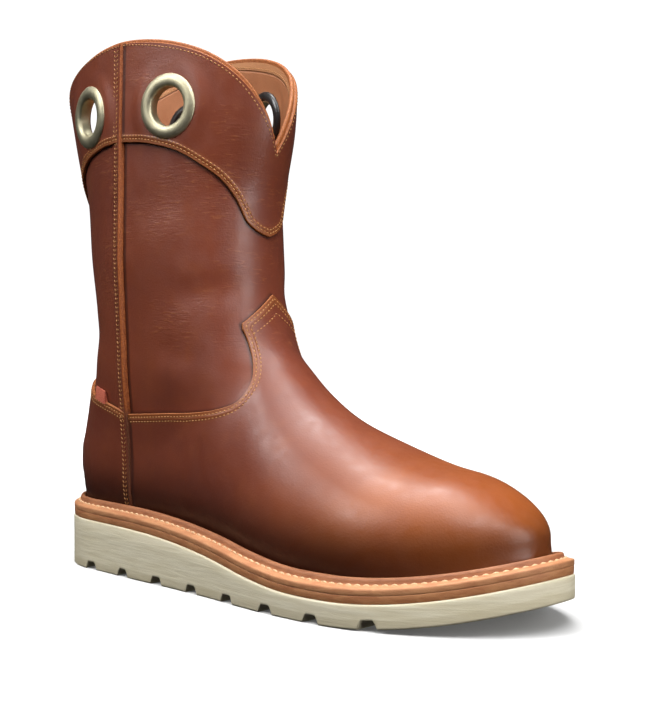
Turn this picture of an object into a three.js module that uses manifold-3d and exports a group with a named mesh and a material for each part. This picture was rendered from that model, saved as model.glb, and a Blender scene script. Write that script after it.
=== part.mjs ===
// Pull-on roper work boot, right foot, in millimetres.
// Working axes: x runs from the back of the heel to the toe, y towards the inner side (the outer side is
// negative), z up from the floor. At the end the whole boot is shifted so that the origin lies on the floor
// under the middle of its box.
import * as THREE from 'three';
import { mergeVertices } from 'three/addons/utils/BufferGeometryUtils.js';
import Module from 'manifold-3d';

const wasm = await Module();
wasm.setup();

// Driving sizes of the sole
const SOLE_LENGTH = 312;
const BALL_WIDTH = 112;
const HEEL_HEIGHT = 27;
const FOREPART_HEIGHT = 11;
const TOE_SPRING = 13.5;
const HEEL_ROUND = 42;
const TOE_ROUND = 89;
const MIDSOLE_THICKNESS = 3.1;
const WELT_THICKNESS = 3.1;
const WELT_WIDTH = 10;
const WELT_RISE = 1.6;
const BEAD_WIDTH = 3.6;
const BEAD_HEIGHT = 2.4;
const BEAD_CLEARANCE = 1.5;
const GROOVE_PITCH = 29.4;
const GROOVE_DEPTH = 3.8;
const GROOVE_FLOOR_WIDTH = 5;
const GROOVE_MOUTH_WIDTH = 9.4;
const FIRST_GROOVE = 42.3;
const GROOVE_COUNT = 8;

// Driving sizes of the upper
const COLLAR_HEIGHT = 279;
const COLLAR_DIP = 59;
const INSTEP_HEIGHT = 128;
const TOE_HEIGHT = 60;
const TOE_FRONT_ROUND = 32;
const WALL = 2.2;
const OVERLAY = 1.5;
const SIDE_BULGE = 2.2;
const SEAM_PLACE = 68.5;
const PIPING_WIDTH = 4;
const PIPING_STAND = 1.3;
const INSOLE_THICKNESS = 3.5;

// Driving sizes of the pull holes
const HOLE_DIAMETER = 20;
const GROMMET_DIAMETER = 32;
const GROMMET_STAND = 2.4;
const BARREL_WALL = 0.9;
const WASHER_THICKNESS = 1.2;
const PULL_HOLE_DROP = 36.5;
const FRONT_PULL_HOLE = 102;
const REAR_PULL_HOLE = 40;

// Small fits and the fineness of the mesh
const GAP = 0.3;
const SLIVER = 0.04;
const SOLE_POINTS = 40;
const COLUMNS = 34;
const CAST_STEPS = 30;

// Half width and centre line of the sole by place along it: lengths are shares of the sole length,
// widths are shares of the ball width
const SOLE_TABLE = [
  { at: 0.00, half: 0.356, centre: 0.000 },
  { at: 0.15, half: 0.360, centre: -0.005 },
  { at: 0.25, half: 0.374, centre: -0.018 },
  { at: 0.36, half: 0.379, centre: -0.038 },
  { at: 0.46, half: 0.402, centre: -0.046 },
  { at: 0.56, half: 0.450, centre: -0.042 },
  { at: 0.66, half: 0.488, centre: -0.027 },
  { at: 0.74, half: 0.500, centre: -0.013 },
  { at: 0.84, half: 0.492, centre: 0.004 },
  { at: 0.92, half: 0.478, centre: 0.015 },
  { at: 1.00, half: 0.445, centre: 0.020 },
];

// Top of the wedge: share of the heel's extra height that is left at each place
const WEDGE_TABLE = [
  { at: 0.00, share: 1.00 },
  { at: 0.16, share: 0.95 },
  { at: 0.30, share: 0.87 },
  { at: 0.40, share: 0.69 },
  { at: 0.47, share: 0.50 },
  { at: 0.55, share: 0.24 },
  { at: 0.63, share: 0.04 },
  { at: 0.70, share: 0.00 },
  { at: 1.00, share: 0.00 },
];
const TOE_SPRING_START = 0.72;

// Width of the welt and its bead by place: share of the full welt width
const WELT_TABLE = [
  { at: 0.00, share: 0.72 },
  { at: 0.12, share: 0.80 },
  { at: 0.30, share: 1.00 },
  { at: 1.00, share: 1.00 },
];

// Top line of the foot from the shaft to the toe: place as a share of the sole length, height as the share
// of the way from the toe's height to the instep's
const RIDGE_TABLE = [
  { at: 0.19, rise: 1.90 },
  { at: 0.32, rise: 1.90 },
  { at: 0.41, rise: 1.50 },
  { at: 0.455, rise: 1.00 },
  { at: 0.513, rise: 0.757 },
  { at: 0.593, rise: 0.462 },
  { at: 0.689, rise: 0.265 },
  { at: 0.785, rise: 0.130 },
  { at: 0.865, rise: 0.075 },
  { at: 0.975, rise: 0.000 },
];

// How square the foot's cross-section is: side is the exponent across, top the exponent upwards
const SECTION_TABLE = [
  { at: 0.32, side: 2.00, top: 1.80 },
  { at: 0.545, side: 2.00, top: 1.70 },
  { at: 0.737, side: 2.30, top: 1.90 },
  { at: 0.975, side: 2.35, top: 2.10 },
];
const WIDEST_HEIGHT = 14;

// Level sections of heel and shaft: height as a share of the collar height, back and front as shares of
// the sole length, half as a share of the ball width, rear and fore as the exponents of the two ends
const SHAFT_TABLE = [
  { at: 0.135, back: 0.0260, front: 0.385, half: 0.268, rear: 2.50, fore: 2.20 },
  { at: 0.168, back: 0.0130, front: 0.401, half: 0.302, rear: 2.50, fore: 2.20 },
  { at: 0.222, back: 0.0060, front: 0.417, half: 0.312, rear: 2.40, fore: 2.10 },
  { at: 0.305, back: 0.0350, front: 0.436, half: 0.314, rear: 2.30, fore: 2.10 },
  { at: 0.394, back: 0.0540, front: 0.432, half: 0.328, rear: 2.20, fore: 2.05 },
  { at: 0.502, back: 0.0480, front: 0.423, half: 0.357, rear: 2.10, fore: 2.00 },
  { at: 0.609, back: 0.0350, front: 0.434, half: 0.376, rear: 2.10, fore: 2.00 },
  { at: 0.717, back: 0.0230, front: 0.442, half: 0.372, rear: 2.10, fore: 2.00 },
  { at: 0.824, back: -0.0080, front: 0.467, half: 0.367, rear: 2.10, fore: 2.00 },
  { at: 0.986, back: -0.0500, front: 0.480, half: 0.357, rear: 2.10, fore: 2.00 },
];
const BLEND_LOW = 2;
const BLEND_HIGH = 26;
const BLEND_START = 20;
const BLEND_REACH = 60;
const FOOT_SCALE = 45;
const SHAFT_SCALE = 1.15;

// Collar line: turn in degrees from the front (0) over the side (90) to the back (180), height as the share
// of the way from the dip to the ear
const COLLAR_TABLE = [
  { turn: 0, share: 0.00 },
  { turn: 16, share: 0.34 },
  { turn: 32, share: 0.62 },
  { turn: 47, share: 0.80 },
  { turn: 64, share: 0.925 },
  { turn: 80, share: 0.985 },
  { turn: 92, share: 1.00 },
  { turn: 104, share: 0.965 },
  { turn: 124, share: 0.80 },
  { turn: 145, share: 0.53 },
  { turn: 163, share: 0.26 },
  { turn: 180, share: 0.00 },
];

// Loops of the upper from the sole (0) to the collar (1): low is the height over the sole as a share of the
// collar height, tilt the rise towards the toe, middle and reach shares of the sole length, side of the
// ball width; middle, reach and side only aim the rays that find the surface
const LEVEL_TABLE = [
  { at: 0.00, low: 0.000, tilt: 0.00, middle: 0.487, reach: 0.481, side: 0.47 },
  { at: 0.12, low: 0.065, tilt: -0.01, middle: 0.481, reach: 0.474, side: 0.45 },
  { at: 0.25, low: 0.158, tilt: -0.03, middle: 0.401, reach: 0.401, side: 0.41 },
  { at: 0.40, low: 0.278, tilt: 0.00, middle: 0.321, reach: 0.304, side: 0.36 },
  { at: 0.55, low: 0.395, tilt: 0.04, middle: 0.256, reach: 0.240, side: 0.36 },
  { at: 0.70, low: 0.520, tilt: 0.02, middle: 0.247, reach: 0.218, side: 0.38 },
  { at: 0.85, low: 0.670, tilt: 0.00, middle: 0.244, reach: 0.224, side: 0.38 },
  { at: 1.00, low: 0.860, tilt: 0.00, middle: 0.231, reach: 0.256, side: 0.37 },
];
const LEVELS = [0, 0.04, 0.085, 0.12, 0.145, 0.17, 0.2, 0.235, 0.275, 0.325, 0.38, 0.44, 0.51, 0.59,
  0.67, 0.75, 0.83, 0.915, 1];
const FOOT_LEVELS_END = 0.3;
const COLLAR_LEVELS_START = 0.62;
const HEEL_LOOP_HEIGHT = 7;

// Edges of the overlays on both sides of the boot: turn in degrees round the seam's axis, 0 at the front and
// 180 at the back, up as a share of the collar height
const VAMP_EDGE = [
  { turn: 90.0, up: 0.302 },
  { turn: 51.6, up: 0.309 },
  { turn: 36.0, up: 0.314 },
  { turn: 29.0, up: 0.321 },
  { turn: 23.6, up: 0.333 },
  { turn: 19.8, up: 0.356 },
  { turn: 17.4, up: 0.378 },
  { turn: 15.9, up: 0.401 },
  { turn: 15.2, up: 0.425 },
  { turn: 15.5, up: 0.450 },
  { turn: 17.0, up: 0.473 },
  { turn: 0.0, up: 0.5265 },
];
const COUNTER_EDGE = [
  { turn: 90.0, up: 0.302 },
  { turn: 107.2, up: 0.315 },
  { turn: 122.8, up: 0.326 },
  { turn: 137.0, up: 0.338 },
  { turn: 155.0, up: 0.358 },
  { turn: 180.0, up: 0.376 },
];
const YOKE_FRONT_EDGE = [
  { turn: 90.0, up: 0.814 },
  { turn: 60.5, up: 0.805 },
  { turn: 42.0, up: 0.787 },
  { turn: 31.1, up: 0.762 },
  { turn: 22.9, up: 0.737 },
  { turn: 16.2, up: 0.703 },
  { turn: 10.8, up: 0.657 },
  { turn: 5.5, up: 0.642 },
  { turn: 0.0, up: 0.634 },
];
const YOKE_BACK_EDGE = [
  { turn: 90.0, up: 0.815 },
  { turn: 113.9, up: 0.807 },
  { turn: 136.0, up: 0.786 },
  { turn: 150.0, up: 0.757 },
  { turn: 160.0, up: 0.722 },
  { turn: 168.0, up: 0.672 },
  { turn: 180.0, up: 0.648 },
];

// Smooth curve through one column of a table, held level beyond its ends
function columnAt(table, column, place, key = 'at') {
  const last = table.length - 1;
  const where = THREE.MathUtils.clamp(place, table[0][key], table[last][key]);
  let row = 0;
  while (row < last - 1 && where > table[row + 1][key]) row += 1;
  const slope = (i) => (table[i + 1][column] - table[i][column]) / (table[i + 1][key] - table[i][key]);
  const tangent = (i) => {
    if (i === 0) return slope(0);
    if (i === last) return slope(last - 1);
    const before = slope(i - 1);
    const after = slope(i);
    if (before * after <= 0) return 0;
    const widthBefore = table[i][key] - table[i - 1][key];
    const widthAfter = table[i + 1][key] - table[i][key];
    return (before * widthAfter + after * widthBefore) / (widthBefore + widthAfter);
  };
  const width = table[row + 1][key] - table[row][key];
  const t = (where - table[row][key]) / width;
  return (1 + 2 * t) * (1 - t) ** 2 * table[row][column]
    + t * (1 - t) ** 2 * width * tangent(row)
    + t * t * (3 - 2 * t) * table[row + 1][column]
    + t * t * (t - 1) * width * tangent(row + 1);
}

const smooth = (value) => {
  const t = THREE.MathUtils.clamp(value, 0, 1);
  return t * t * (3 - 2 * t);
};

// Sole heights by place along the boot
function springAt(x) {
  const t = THREE.MathUtils.clamp((x / SOLE_LENGTH - TOE_SPRING_START) / (1 - TOE_SPRING_START), 0, 1);
  return TOE_SPRING * t * t;
}

function wedgeTopAt(x) {
  const wedge = (HEEL_HEIGHT - FOREPART_HEIGHT) * columnAt(WEDGE_TABLE, 'share', x / SOLE_LENGTH);
  return springAt(x) + FOREPART_HEIGHT + wedge;
}

const midsoleTopAt = (x) => wedgeTopAt(x) + GAP + MIDSOLE_THICKNESS;
const weltEdgeAt = (x) => midsoleTopAt(x) + GAP + WELT_THICKNESS;
const weltSeatAt = (x) => weltEdgeAt(x) + WELT_RISE;
const featherAt = (x) => weltSeatAt(x) + GAP;

// Inset from the sole's edge at a place: over the welt it narrows with the welt, beyond it it is even
function insetAt(x, inset) {
  const share = columnAt(WELT_TABLE, 'share', x / SOLE_LENGTH);
  return Math.min(inset, WELT_WIDTH) * share + Math.max(inset - WELT_WIDTH, 0);
}

// Half width of the sole's outline moved inwards by inset, zero beyond its ends
function halfWidthAt(x, inset) {
  const heelInset = insetAt(0, inset);
  const heel = Math.max((HEEL_ROUND - x) / (HEEL_ROUND - heelInset), 0);
  const toe = Math.max((x - SOLE_LENGTH + TOE_ROUND) / (TOE_ROUND - inset), 0);
  if (heel >= 1 || toe >= 1) return 0;
  const side = BALL_WIDTH * columnAt(SOLE_TABLE, 'half', x / SOLE_LENGTH) - insetAt(x, inset);
  return side * Math.sqrt(1 - heel * heel) * Math.sqrt(1 - toe * toe);
}

const centreAt = (x) => BALL_WIDTH * columnAt(SOLE_TABLE, 'centre', x / SOLE_LENGTH);

// One loop of the sole's outline, from the heel along the outer side to the toe and back
function soleLoop(inset, heightAt) {
  const start = insetAt(0, inset);
  const end = SOLE_LENGTH - inset;
  return Array.from({ length: SOLE_POINTS }, (_, i) => {
    const turn = (2 * Math.PI * i) / SOLE_POINTS;
    const x = start + (end - start) * (1 - Math.cos(turn)) / 2;
    const side = Math.abs(Math.sin(turn)) < 1e-9 ? 0 : Math.sign(Math.sin(turn));
    return new THREE.Vector3(x, centreAt(x) - side * halfWidthAt(x, inset), heightAt(x));
  });
}

// Height above everything, and the bent blocks' radii, depth before bending and longest edge
const TOP = COLLAR_HEIGHT + 20;
const BLOCK_CORE = 0.05 * SOLE_LENGTH;
const BLOCK_REACH = 1.2 * SOLE_LENGTH;
const BLOCK_DEPTH = 180;
const BLOCK_STEP = 36;

// Triangle lists of the meshes that are made from loops of points
class Loops {
  constructor() {
    this.points = [];
    this.faces = [];
  }

  add(loop) {
    const first = this.points.length;
    this.points.push(...loop);
    return { first, count: loop.length };
  }

  // Wall between two loops, facing out when the loops run anticlockwise and the second lies higher.
  // The loops inside a shell run downwards: their faces are split the other way, to lie along the outside's
  wall(from, to, inside = false) {
    for (let i = 0; i < from.count; i += 1) {
      const next = (i + 1) % from.count;
      if (inside) {
        this.faces.push([from.first + i, from.first + next, to.first + i]);
        this.faces.push([from.first + next, to.first + next, to.first + i]);
      } else {
        this.faces.push([from.first + i, from.first + next, to.first + next]);
        this.faces.push([from.first + i, to.first + next, to.first + i]);
      }
    }
  }

  // Lid over a loop that is alike on both sides of its first point, in strips from side to side
  lid(loop, facesUp) {
    const half = loop.count / 2;
    const put = (a, b, c) => this.faces.push(facesUp ? [a, b, c] : [a, c, b]);
    for (let i = 0; i < half; i += 1) {
      const a = loop.first + i;
      const b = loop.first + i + 1;
      const c = loop.first + ((loop.count - i - 1) % loop.count);
      const d = loop.first + ((loop.count - i) % loop.count);
      if (i < half - 1) put(a, b, c);
      if (i > 0) put(a, c, d);
    }
  }

  geometry() {
    const geometry = new THREE.BufferGeometry();
    const places = this.points.flatMap((point) => [point.x, point.y, point.z]);
    geometry.setAttribute('position', new THREE.Float32BufferAttribute(places, 3));
    geometry.setIndex(this.faces.flat());
    return geometry;
  }
}

// Solid between loops stacked upwards
function stackedSolid(loops) {
  const mesh = new Loops();
  const placed = loops.map((loop) => mesh.add(loop));
  placed.slice(1).forEach((loop, i) => mesh.wall(placed[i], loop));
  mesh.lid(placed[0], false);
  mesh.lid(placed[placed.length - 1], true);
  return mesh.geometry();
}

// Ring through loops that close on the first one again: first the ones outside, from below to above, then
// the ones inside, from above to below
function ringSolid(outside, inside) {
  const mesh = new Loops();
  const placed = [...outside, ...inside].map((loop) => mesh.add(loop));
  placed.forEach((loop, i) => mesh.wall(loop, placed[(i + 1) % placed.length], i >= outside.length));
  return mesh.geometry();
}

// Manifold solids for cuts and joins
function toSolid(geometry) {
  const bare = geometry.index ? geometry.clone() : geometry;
  bare.deleteAttribute('normal');
  bare.deleteAttribute('uv');
  const merged = mergeVertices(bare, 1e-4);
  return new wasm.Manifold(new wasm.Mesh({
    numProp: 3,
    vertProperties: new Float32Array(merged.attributes.position.array),
    triVerts: new Uint32Array(merged.index.array),
  }));
}

function toGeometry(solid) {
  const { vertProperties, triVerts, numProp } = solid.getMesh();
  const geometry = new THREE.BufferGeometry();
  const places = new Float32Array((vertProperties.length / numProp) * 3);
  for (let i = 0; i < places.length / 3; i += 1) {
    places.set(vertProperties.subarray(i * numProp, i * numProp + 3), i * 3);
  }
  geometry.setAttribute('position', new THREE.BufferAttribute(places, 3));
  geometry.setIndex(new THREE.BufferAttribute(new Uint32Array(triVerts), 1));
  return geometry;
}

// Signed measure of the foot: negative inside, about millimetres near the surface
function footMeasure(x, y, z) {
  const place = x / SOLE_LENGTH;
  const widest = featherAt(x) + WIDEST_HEIGHT;
  const below = Math.max(widest - z, 0) / WIDEST_HEIGHT;
  const inset = WELT_WIDTH - SIDE_BULGE * (1 - below * below);
  const half = halfWidthAt(x, inset);
  const frontX = SOLE_LENGTH - WELT_WIDTH + SIDE_BULGE;
  const front = Math.max((x - frontX + TOE_FRONT_ROUND) / TOE_FRONT_ROUND, 0);
  if (half <= 0 || front >= 1) return 2 * FOOT_SCALE;
  const rise = columnAt(RIDGE_TABLE, 'rise', place);
  const ridge = TOE_HEIGHT + (INSTEP_HEIGHT - TOE_HEIGHT) * rise;
  const side = columnAt(SECTION_TABLE, 'side', place);
  const top = columnAt(SECTION_TABLE, 'top', place);
  const height = Math.max(ridge - widest, 1) * Math.sqrt(1 - front * front);
  const above = Math.max(z - widest, 0) / height;
  const across = Math.abs(y - centreAt(x)) / half;
  return ((across ** side + above ** top) ** (1 / side) - 1) * FOOT_SCALE;
}

// Signed measure of heel and shaft
function shaftMeasure(x, y, z) {
  const row = (column) => columnAt(SHAFT_TABLE, column, z / COLLAR_HEIGHT);
  const back = SOLE_LENGTH * row('back');
  const front = SOLE_LENGTH * row('front');
  const half = BALL_WIDTH * row('half');
  const middle = (back + front) / 2;
  const power = x < middle ? row('rear') : row('fore');
  const along = Math.abs(x - middle) / ((front - back) / 2);
  return ((along ** power + (Math.abs(y) / half) ** power) ** (1 / power) - 1) * half * SHAFT_SCALE;
}

// Foot and shaft flowed into each other
function bootMeasure(x, y, z) {
  const foot = footMeasure(x, y, z);
  const shaft = shaftMeasure(x, y, z);
  const blend = BLEND_LOW
    + (BLEND_HIGH - BLEND_LOW) * smooth((z - featherAt(x) - BLEND_START) / BLEND_REACH);
  const share = Math.max(blend - Math.abs(foot - shaft), 0) / blend;
  return Math.min(foot, shaft) - share * share * blend * 0.25;
}

// Height of the collar line at a turn round the boot, 0 at the front
function collarAt(turn) {
  const degrees = Math.abs(THREE.MathUtils.radToDeg(turn));
  const folded = degrees > 180 ? 360 - degrees : degrees;
  return COLLAR_HEIGHT - COLLAR_DIP * (1 - columnAt(COLLAR_TABLE, 'share', folded, 'turn'));
}

// Height of the loop at a level, over the point x
function levelHeight(level, turn, x) {
  const low = COLLAR_HEIGHT * columnAt(LEVEL_TABLE, 'low', level);
  const tilt = columnAt(LEVEL_TABLE, 'tilt', level);
  const foot = Math.max(1 - level / FOOT_LEVELS_END, 0) ** 1.5;
  const plane = HEEL_HEIGHT + HEEL_LOOP_HEIGHT + low + tilt * x;
  const height = (featherAt(x) + low) * foot + plane * (1 - foot);
  const collar = smooth((level - COLLAR_LEVELS_START) / (1 - COLLAR_LEVELS_START));
  return height * (1 - collar) + collarAt(turn) * collar;
}

// Outward direction of the boot's surface, held level at the sole's edge
function outwardAt(point, level) {
  const step = 0.4;
  const { x, y, z } = point;
  const normal = new THREE.Vector3(
    bootMeasure(x + step, y, z) - bootMeasure(x - step, y, z),
    bootMeasure(x, y + step, z) - bootMeasure(x, y - step, z),
    bootMeasure(x, y, z + step) - bootMeasure(x, y, z - step),
  );
  const lift = smooth(level / 0.08) * smooth((1 - level) / 0.08);
  return normal.setZ(normal.z * lift).normalize();
}

// One loop of the boot's surface at a level, moved inwards by depth
function surfaceLoop(level, depth) {
  const middle = SOLE_LENGTH * columnAt(LEVEL_TABLE, 'middle', level);
  const reach = SOLE_LENGTH * columnAt(LEVEL_TABLE, 'reach', level);
  const side = BALL_WIDTH * columnAt(LEVEL_TABLE, 'side', level);
  const centre = centreAt(middle) * Math.max(1 - level / 0.4, 0);
  return Array.from({ length: COLUMNS }, (_, i) => {
    const turn = (2 * Math.PI * i) / COLUMNS;
    const at = (ray) => {
      const x = middle + ray * reach * Math.cos(turn);
      return new THREE.Vector3(x, centre + ray * side * Math.sin(turn), levelHeight(level, turn, x));
    };
    let inner = 0;
    let outer = 2;
    for (let step = 0; step < CAST_STEPS; step += 1) {
      const ray = (inner + outer) / 2;
      const { x, y, z } = at(ray);
      if (bootMeasure(x, y, z) < 0) inner = ray;
      else outer = ray;
    }
    const point = at(inner);
    return point.addScaledVector(outwardAt(point, level), -depth);
  });
}

// Hollow shell of the boot between two depths, over the levels given
function shell(outerDepth, innerDepth, levels) {
  const outside = levels.map((level) => surfaceLoop(level, outerDepth));
  const inside = levels.map((level) => surfaceLoop(level, innerDepth)).reverse();
  return toSolid(ringSolid(outside, inside));
}

// Block right across the boot with an outline given in side view
function sideBlock(outline) {
  const shape = new THREE.Shape(outline.map(([x, z]) => new THREE.Vector2(x, z)));
  const depth = 2 * BALL_WIDTH;
  const geometry = new THREE.ExtrudeGeometry(shape, { depth, bevelEnabled: false });
  geometry.translate(0, 0, -depth / 2);
  geometry.rotateX(Math.PI / 2);
  return toSolid(geometry);
}

// Outline of a block by turn and height: an edge on both sides of the boot, closed along a level line
function aroundOutline(edge, level) {
  const side = edge.map(({ turn, up }) => [turn, up * COLLAR_HEIGHT]);
  const [end] = side[side.length - 1];
  const other = side.slice(0, -1).reverse().map(([turn, z]) => [2 * end - turn, z]);
  const [farTurn] = other[other.length - 1];
  return [...side, ...other, [farTurn, level], [side[0][0], level]];
}

// Block round the seam's axis with such an outline: cut flat, divided finely and then bent round
function turnBlock(outline) {
  const shape = new THREE.Shape(outline.map(([turn, z]) => new THREE.Vector2(turn, z)));
  const flat = toSolid(new THREE.ExtrudeGeometry(shape, { depth: BLOCK_DEPTH, bevelEnabled: false }));
  return flat.refineToLength(BLOCK_STEP).warp((point) => {
    const [degrees, height, depth] = point;
    const turn = THREE.MathUtils.degToRad(degrees);
    const radius = BLOCK_CORE * (BLOCK_REACH / BLOCK_CORE) ** (depth / BLOCK_DEPTH);
    point[0] = SEAM_PLACE + radius * Math.cos(turn);
    point[1] = radius * Math.sin(turn);
    point[2] = height;
  });
}

// Sole pieces
function outsole() {
  const top = (drop) => (x) => wedgeTopAt(x) - drop;
  const bottom = (lift) => (x) => springAt(x) + lift;
  const body = toSolid(stackedSolid([
    soleLoop(1, bottom(0)),
    soleLoop(0, bottom(1)),
    soleLoop(0, bottom(GROOVE_DEPTH + 0.6)),
    soleLoop(0.6, bottom(GROOVE_DEPTH + 1.2)),
    soleLoop(0.6, top(0.8)),
    soleLoop(1.4, top(0)),
  ]));
  let cut = body;
  for (let i = 0; i < GROOVE_COUNT; i += 1) {
    const x = FIRST_GROOVE + i * GROOVE_PITCH;
    const floor = springAt(x) + GROOVE_DEPTH;
    const groove = sideBlock([
      [x - GROOVE_MOUTH_WIDTH / 2, -1],
      [x + GROOVE_MOUTH_WIDTH / 2, -1],
      [x + GROOVE_MOUTH_WIDTH / 2 - 0.5, springAt(x) + 0.8],
      [x + GROOVE_FLOOR_WIDTH / 2, floor],
      [x - GROOVE_FLOOR_WIDTH / 2, floor],
      [x - GROOVE_MOUTH_WIDTH / 2 + 0.5, springAt(x) + 0.8],
    ]);
    cut = cut.subtract(groove);
  }
  return toGeometry(cut);
}

function midsole() {
  const low = (x) => wedgeTopAt(x) + GAP;
  return stackedSolid([
    soleLoop(1.4, low),
    soleLoop(0.8, (x) => low(x) + 0.6),
    soleLoop(0.8, (x) => midsoleTopAt(x) - 0.6),
    soleLoop(1.4, midsoleTopAt),
  ]);
}

const BEAD_FOOT = WELT_WIDTH - BEAD_WIDTH - BEAD_CLEARANCE;
const WELT_INNER = WELT_WIDTH + 8;

function welt() {
  const low = (x) => midsoleTopAt(x) + GAP;
  const seat = (lift) => (x) => weltSeatAt(x) + lift;
  return ringSolid([
    soleLoop(1.0, low),
    soleLoop(0.4, (x) => low(x) + 0.6),
    soleLoop(0.4, (x) => weltEdgeAt(x) - 0.7),
    soleLoop(1.2, weltEdgeAt),
    soleLoop(BEAD_FOOT, seat(0)),
    soleLoop(BEAD_FOOT + 0.2 * BEAD_WIDTH, seat(0.85 * BEAD_HEIGHT)),
    soleLoop(BEAD_FOOT + 0.6 * BEAD_WIDTH, seat(BEAD_HEIGHT)),
    soleLoop(BEAD_FOOT + BEAD_WIDTH, seat(0)),
  ], [
    soleLoop(WELT_INNER, seat(0)),
    soleLoop(WELT_INNER, low),
  ]);
}

function insole() {
  const plug = WELT_INNER + GAP;
  const rim = WELT_WIDTH + OVERLAY + WALL + 3 * GAP + 1;
  return stackedSolid([
    soleLoop(plug, (x) => midsoleTopAt(x) + GAP),
    soleLoop(plug, featherAt),
    soleLoop(rim, (x) => featherAt(x) + 0.01),
    soleLoop(rim, (x) => featherAt(x) + INSOLE_THICKNESS - 0.8),
    soleLoop(rim + 0.8, (x) => featherAt(x) + INSOLE_THICKNESS),
  ]);
}

// Pull holes: two on each side, lying in the wall
const UPPER_DEPTH = OVERLAY + GAP;
const PULL_HOLE_HEIGHT = COLLAR_HEIGHT - PULL_HOLE_DROP;
const BARREL_RADIUS = HOLE_DIAMETER / 2 + BARREL_WALL;

// Frame at a pull hole, its z axis pointing out of the wall
function pullHoleFrame(x, side) {
  let inner = 0;
  let outer = BALL_WIDTH;
  for (let step = 0; step < CAST_STEPS; step += 1) {
    const y = (inner + outer) / 2;
    if (bootMeasure(x, side * y, PULL_HOLE_HEIGHT) < 0) inner = y;
    else outer = y;
  }
  const point = new THREE.Vector3(x, side * inner, PULL_HOLE_HEIGHT);
  const out = outwardAt(point, 0.5);
  const across = new THREE.Vector3(0, 0, 1).cross(out).normalize();
  const up = out.clone().cross(across);
  return new THREE.Matrix4().makeBasis(across, up, out).setPosition(point);
}

const pullHoles = [
  { name: 'outer_front', x: FRONT_PULL_HOLE, side: -1 },
  { name: 'outer_rear', x: REAR_PULL_HOLE, side: -1 },
  { name: 'inner_front', x: FRONT_PULL_HOLE, side: 1 },
  { name: 'inner_rear', x: REAR_PULL_HOLE, side: 1 },
].map((hole) => ({ ...hole, frame: pullHoleFrame(hole.x, hole.side) }));

// Ring turned round the z axis from a closed profile of radius and height
function turned(profile, segments) {
  const points = [...profile, profile[0]].map(([radius, height]) => new THREE.Vector2(radius, height));
  const geometry = new THREE.LatheGeometry(points, segments);
  geometry.rotateX(Math.PI / 2);
  return geometry;
}

const RING_SEGMENTS = 14;
const inPlace = (geometry, frame) => toGeometry(toSolid(geometry)).applyMatrix4(frame);

function drill(frame) {
  const reach = 12;
  const bore = new THREE.CylinderGeometry(BARREL_RADIUS + GAP, BARREL_RADIUS + GAP, 2 * reach, RING_SEGMENTS);
  bore.rotateX(Math.PI / 2);
  return toSolid(bore.applyMatrix4(frame));
}

const drills = pullHoles.map(({ frame }) => drill(frame));
const drilled = (solid) => drills.reduce((left, bore) => left.subtract(bore), solid);

// How far the curved wall drops away from, or comes in behind, a flat ring of the grommet's size
const WALL_RADIUS = 0.85 * BALL_WIDTH;
const WALL_CURVE = GROMMET_DIAMETER ** 2 / 8 / WALL_RADIUS;

function grommet(frame) {
  const inside = -(OVERLAY + GAP + WALL + GAP + WALL_CURVE + WASHER_THICKNESS + GAP);
  const bore = HOLE_DIAMETER / 2;
  const rim = GROMMET_DIAMETER / 2;
  return inPlace(turned([
    [bore, inside],
    [BARREL_RADIUS, inside],
    [BARREL_RADIUS, GAP],
    [rim, GAP],
    [rim, GAP + 0.5],
    [(rim + BARREL_RADIUS) / 2 + 0.8, GROMMET_STAND],
    [(rim + BARREL_RADIUS) / 2 - 1.6, GROMMET_STAND],
    [bore, 1.2],
  ], RING_SEGMENTS), frame);
}

function washer(frame) {
  const outerFace = -(OVERLAY + GAP + WALL + GAP + WALL_CURVE);
  const bore = BARREL_RADIUS + GAP;
  const rim = GROMMET_DIAMETER / 2 - 0.5;
  return inPlace(turned([
    [bore, outerFace - WASHER_THICKNESS],
    [rim - 0.6, outerFace - WASHER_THICKNESS],
    [rim, outerFace - 0.5 * WASHER_THICKNESS],
    [rim, outerFace],
    [bore, outerFace],
  ], RING_SEGMENTS), frame);
}

// Upper and its overlays
const SLOT = PIPING_WIDTH / 2 + GAP;
const lowLevels = LEVELS.filter((level) => level < 0.7);
const heelLevels = LEVELS.filter((level) => level < 0.52);
const collarLevels = LEVELS.filter((level) => level > 0.5);

const upper = () => toGeometry(drilled(shell(UPPER_DEPTH, UPPER_DEPTH + WALL, LEVELS)));

// Half of space in front of the side seam or behind it, clear of the piping
function seamBlock(isFront) {
  const near = isFront ? SEAM_PLACE + SLOT : SEAM_PLACE - SLOT;
  const far = isFront ? 2 * SOLE_LENGTH : -SOLE_LENGTH;
  const [left, right] = isFront ? [near, far] : [far, near];
  return sideBlock([[left, -TOP], [right, -TOP], [right, TOP], [left, TOP]]);
}

function overlay(levels, outline, isFront) {
  const cut = shell(0, OVERLAY, levels).intersect(turnBlock(outline)).intersect(seamBlock(isFront));
  return cut.simplify(SLIVER);
}

const vamp = () => toGeometry(overlay(lowLevels, aroundOutline(VAMP_EDGE, -TOP), true));
const counter = () => toGeometry(overlay(heelLevels, aroundOutline(COUNTER_EDGE, -TOP), false));
const yokeFront = () => toGeometry(drilled(overlay(collarLevels, aroundOutline(YOKE_FRONT_EDGE, TOP), true)));
const yokeBack = () => toGeometry(drilled(overlay(collarLevels, aroundOutline(YOKE_BACK_EDGE, TOP), false)));

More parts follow.
